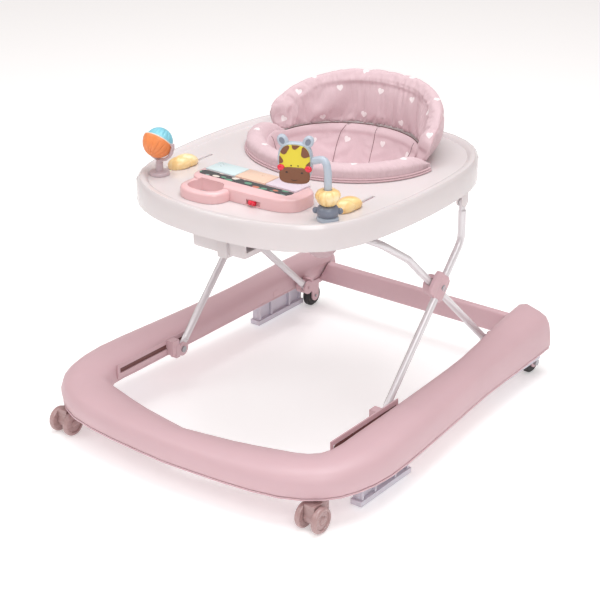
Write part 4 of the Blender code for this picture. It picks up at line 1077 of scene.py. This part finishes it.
def music_panel():
    """The printed strip along the keys, and the switch's two domes."""
    top = PANEL_BOX[1].z
    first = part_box("music_key_1")[0]
    left, right = first.x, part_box("music_key_3")[1].x
    half = 0.0085
    y = first.y - 0.0112
    outline = half_turn((left + half, y), half, 12)
    outline += [(right - 0.004, y - half), (right, y + half * 0.1), (right - 0.001, y + half)]
    rings = [[(*p, top + h) for p in outline] for h in (-0.0004, 0.0005)]
    solid("panel_picture_strip", rings, "picture", "tray_and_seat", "pink_plastic")
    low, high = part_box("power_switch")
    for n in range(2):
        centre = (low.x + (high.x - low.x) * (0.27 + 0.46 * n), low.y - 0.0002, (low.z + high.z) / 2)
        blob(f"switch_dome_{n + 1}", centre, (0.0031, 0.0018, 0.0034), "red_plastic",
             Matrix(), "power_switch", "red_plastic")


# ---- wheels and hardware
def caster_wheel(name, out):
    """A moulded disc with a rolled tread and a stepped hub; out is the side of its face along X."""
    low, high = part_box(name)
    at = placed((low + high) / 2)
    radius = (high.z - low.z) / 2
    face = (high.x - low.x) / 2 * 0.98
    profile = [
        (0.0024, face - 0.0002), (0.0052, face), (0.0062, face - 0.0006),
        (0.007, face - 0.0024), (radius - 0.0066, face - 0.0024), (radius - 0.0058, face - 0.0004),
        (radius - 0.004, face), (radius - 0.0018, face - 0.0008), (radius - 0.0004, face - 0.0028),
        (radius, face - 0.005), (radius, -face + 0.003), (radius - 0.0006, -face + 0.0012),
        (radius - 0.002, -face), (0.0024, -face),
    ]
    rings = [[(out * h, r * cos(a), r * sin(a)) for a in turns(56)] for r, h in profile]
    obj = piece(f"{name}_disc", *lofted(rings + rings[:1]), "caster_rose", name, "pink_plastic", at)
    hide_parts(name)
    cap = (out * (face - 0.0006), 0, 0)
    blob(f"{name}_hub_cap", cap, (0.0012, 0.0036, 0.0036), "caster_rose", at, name, "pink_plastic")


def caster_wheels():
    for side, _ in SIDES:
        for where in ("inner", "outer"):
            name = f"caster_wheel_{side}_{where}"
            caster_wheel(name, 1 if middle(name).x > middle(f"caster_axle_{side}").x else -1)


# Each side's crossing of the two frames, the foot of its upright leg, and how far out that leg's tube runs
CROSS_AT = Vector((0, 0.0827, 0.2406))
UPRIGHT_FOOT = Vector((0, -0.075, 0.0735))
UPRIGHT_X = 0.208
TUBE_RADIUS = 0.0061
SADDLE_REACH = 0.0215


def crossing_saddles():
    """The outer cover of each crossing: a rounded saddle with a ridge over the tube and one beside it."""
    along = (CROSS_AT - UPRIGHT_FOOT).normalized()
    across = Vector((0, -along.z, along.y))
    rows, count = 28, 40
    for side, sign in SIDES:
        out = Vector((sign, 0, 0))
        foot = out * (UPRIGHT_X - TUBE_RADIUS + 0.0002)
        rings = []
        for i in range(rows + 1):
            s = -1 + 2 * i / rows
            wide = 0.0128 + 0.00882 * max(0.0, 1 - abs(s) ** 3.2) ** (1 / 3.2)
            tall = sqrt(max(0.0, 1 - max(0.0, (abs(s) - 0.88) / 0.12) ** 2)) * 0.5 + 0.5
            place = CROSS_AT + along * (SADDLE_REACH * s)
            ring = []
            for k in range(count + 1):
                t = -1 + 2 * k / count
                ridge = exp(-(((t + 0.02) / 0.3) ** 2))
                second = exp(-(((t - 0.66) / 0.16) ** 2))
                edge = sqrt(max(0.0, 1 - abs(t) ** 6))
                height = (0.004 * edge + 0.0052 * ridge + 0.0014 * second) * tall
                ring.append(place + across * (wide * t) + out * (UPRIGHT_X - 0.0006 + height))
            ring.append(place + across * wide + foot)
            ring.append(place - across * wide + foot)
            rings.append(ring)
        obj = solid(f"crossing_saddle_{side}", rings, "pink_plastic", "upright_legs")
        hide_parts(f"joint_cover_outer_{side}")
        # painted shade: dark blobs standing for the inside of the cover's corner slots
        corners = ((0.018, -0.0105), (-0.018, -0.0105), (0.018, 0.01), (-0.018, 0.01))
        for number, (s, t) in enumerate(corners):
            at = CROSS_AT + along * s + across * t + out * (UPRIGHT_X + 0.001)
            blob(f"crossing_slot_shade_{side}_{number + 1}", at, (0.0022, 0.0018, 0.0018), "dark",
                 Matrix(), "upright_legs", "pink_plastic")


INNER_WALL_X = 0.218


def arm_details():
    """On each arm's inner wall: a dark sheet of painted shade in the rail's slot, the cover of the pad's
    catch, and a dark disc of painted shade for a screw hole.
    """
    middle_z, half_z = 0.0835, 0.0044
    cover = superellipse(0.0165, 0.0062, 5.0, 40)
    for side, sign in SIDES:
        rail_low, rail_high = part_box(f"slide_rail_{side}")
        # painted shade: a dark sheet laid on the wall where the rail's slot runs
        slot = half_turn((rail_low.y + 0.0108, middle_z), half_z, 13)
        slot += [(rail_high.y - 0.0064, middle_z - half_z), (rail_high.y - 0.0064, middle_z + half_z)]
        rings = [[(sign * (INNER_WALL_X - gap), y, z) for y, z in slot] for gap in (0.0003, 0.00005)]
        solid(f"rail_shade_{side}", rings, "recess", "base", "pink_plastic")
        rings = []
        for depth, shrink in ((-0.0004, 1.0), (0.0024, 1.0), (0.0032, 0.93)):
            x = sign * (INNER_WALL_X - depth)
            rings.append([(x, 0.208 + y * shrink, 0.0775 + z * shrink) for y, z in cover])
        solid(f"catch_cover_{side}", rings, "pink_plastic", "base")
        # painted shade: a dark disc standing for the inside of a screw hole
        hole = (sign * (INNER_WALL_X - 0.0001), 0.274, 0.09)
        blob(f"screw_hole_shade_{side}", hole, (0.0004, 0.002, 0.002), "dark", Matrix(), "base", "pink_plastic")


# ---- CAD nodes that stay
OTHER_LOOKS = {
    "music_panel_housing": "pink_gloss",
    "music_key_3": "key_lilac",
    "globe_stand": "stand_lilac",
    "caster_housing_left": "caster_rose",
    "caster_housing_right": "caster_rose",
}


def dress_nodes():
    """Every CAD node gets the look of its record slot, or its own, and smooth shading."""
    slots = {entry["node"]: entry["material_slot"] for entry in frame["record"]["subparts"]}
    for name, obj in NODES.items():
        obj.data.materials.clear()
        obj.data.materials.append(LOOKS[OTHER_LOOKS.get(name, slots[name])])
        soften(obj)


# ---- studio
FLOOR_REACH = 9.0
LIGHT_COLOUR = (0.965, 0.99, 1.0)
SKY_COLOUR = (1.0, 0.885, 0.85, 1.0)
LIGHTS = (
    ("key", (-1.6, -1.9, 2.6), (0, 0, 0.2), 1.8, 20.0),
    ("fill", (1.9, -1.8, 2.2), (0, 0, 0.3), 1.6, 28.0),
    ("top", (0.2, 0.1, 3.0), (0, 0, 0.2), 2.2, 61.0),
)


def pale_floor():
    corners = [(x * FLOOR_REACH, y * FLOOR_REACH, 0) for x, y in ((-1, -1), (1, -1), (1, 1), (-1, 1))]
    floor = new_object("floor", corners, [(0, 1, 2, 3)])
    made = Shader("pale floor")
    ground = made.mix(made.noise(1.5), (0.84, 0.84, 0.84, 1.0), (0.86, 0.86, 0.86, 1.0))
    made.set(Base_Color=ground, Roughness=0.9)
    made.set(Emission_Color=(1.0, 1.0, 1.0, 1.0), Emission_Strength=0.34)
    floor.data.materials.append(made.material)


def studio():
    """A pale room: its floor, its sky, three soft lights and the camera."""
    pale_floor()
    world = bpy.data.worlds.new("studio")
    world.use_nodes = True
    background = world.node_tree.nodes["Background"].inputs
    background["Color"].default_value = SKY_COLOUR
    background["Strength"].default_value = 0.42
    SCENE.world = world
    for name, place, aim, size, power in LIGHTS:
        light = bpy.data.lights.new(name, "AREA")
        light.size = size
        light.energy = power
        light.color = LIGHT_COLOUR
        obj = bpy.data.objects.new(name, light)
        obj.location = place
        obj.rotation_euler = (Vector(place) - Vector(aim)).to_track_quat("Z", "Y").to_euler()
        SCENE.collection.objects.link(obj)
    camera = bpy.data.objects.new("camera", bpy.data.cameras.new("camera"))
    a, e = radians(AZIMUTH), radians(ELEVATION)
    back = Vector((sin(a) * cos(e), -cos(a) * cos(e), sin(e)))
    camera.location = Vector(LOOK_AT) + back * DISTANCE
    camera.rotation_mode = "QUATERNION"
    camera.rotation_quaternion = back.to_track_quat("Z", "Y")
    camera.data.lens = LENS
    camera.data.sensor_width = 36.0
    SCENE.collection.objects.link(camera)
    SCENE.camera = camera
    SCENE.view_settings.view_transform = "Standard"


dress_nodes()
seat_back()
seat_ring()
seat_sling()
globe()
giraffe_face()
giraffe_beads()
sliding_toys()
music_panel()
caster_wheels()
crossing_saddles()
arm_details()
studio()
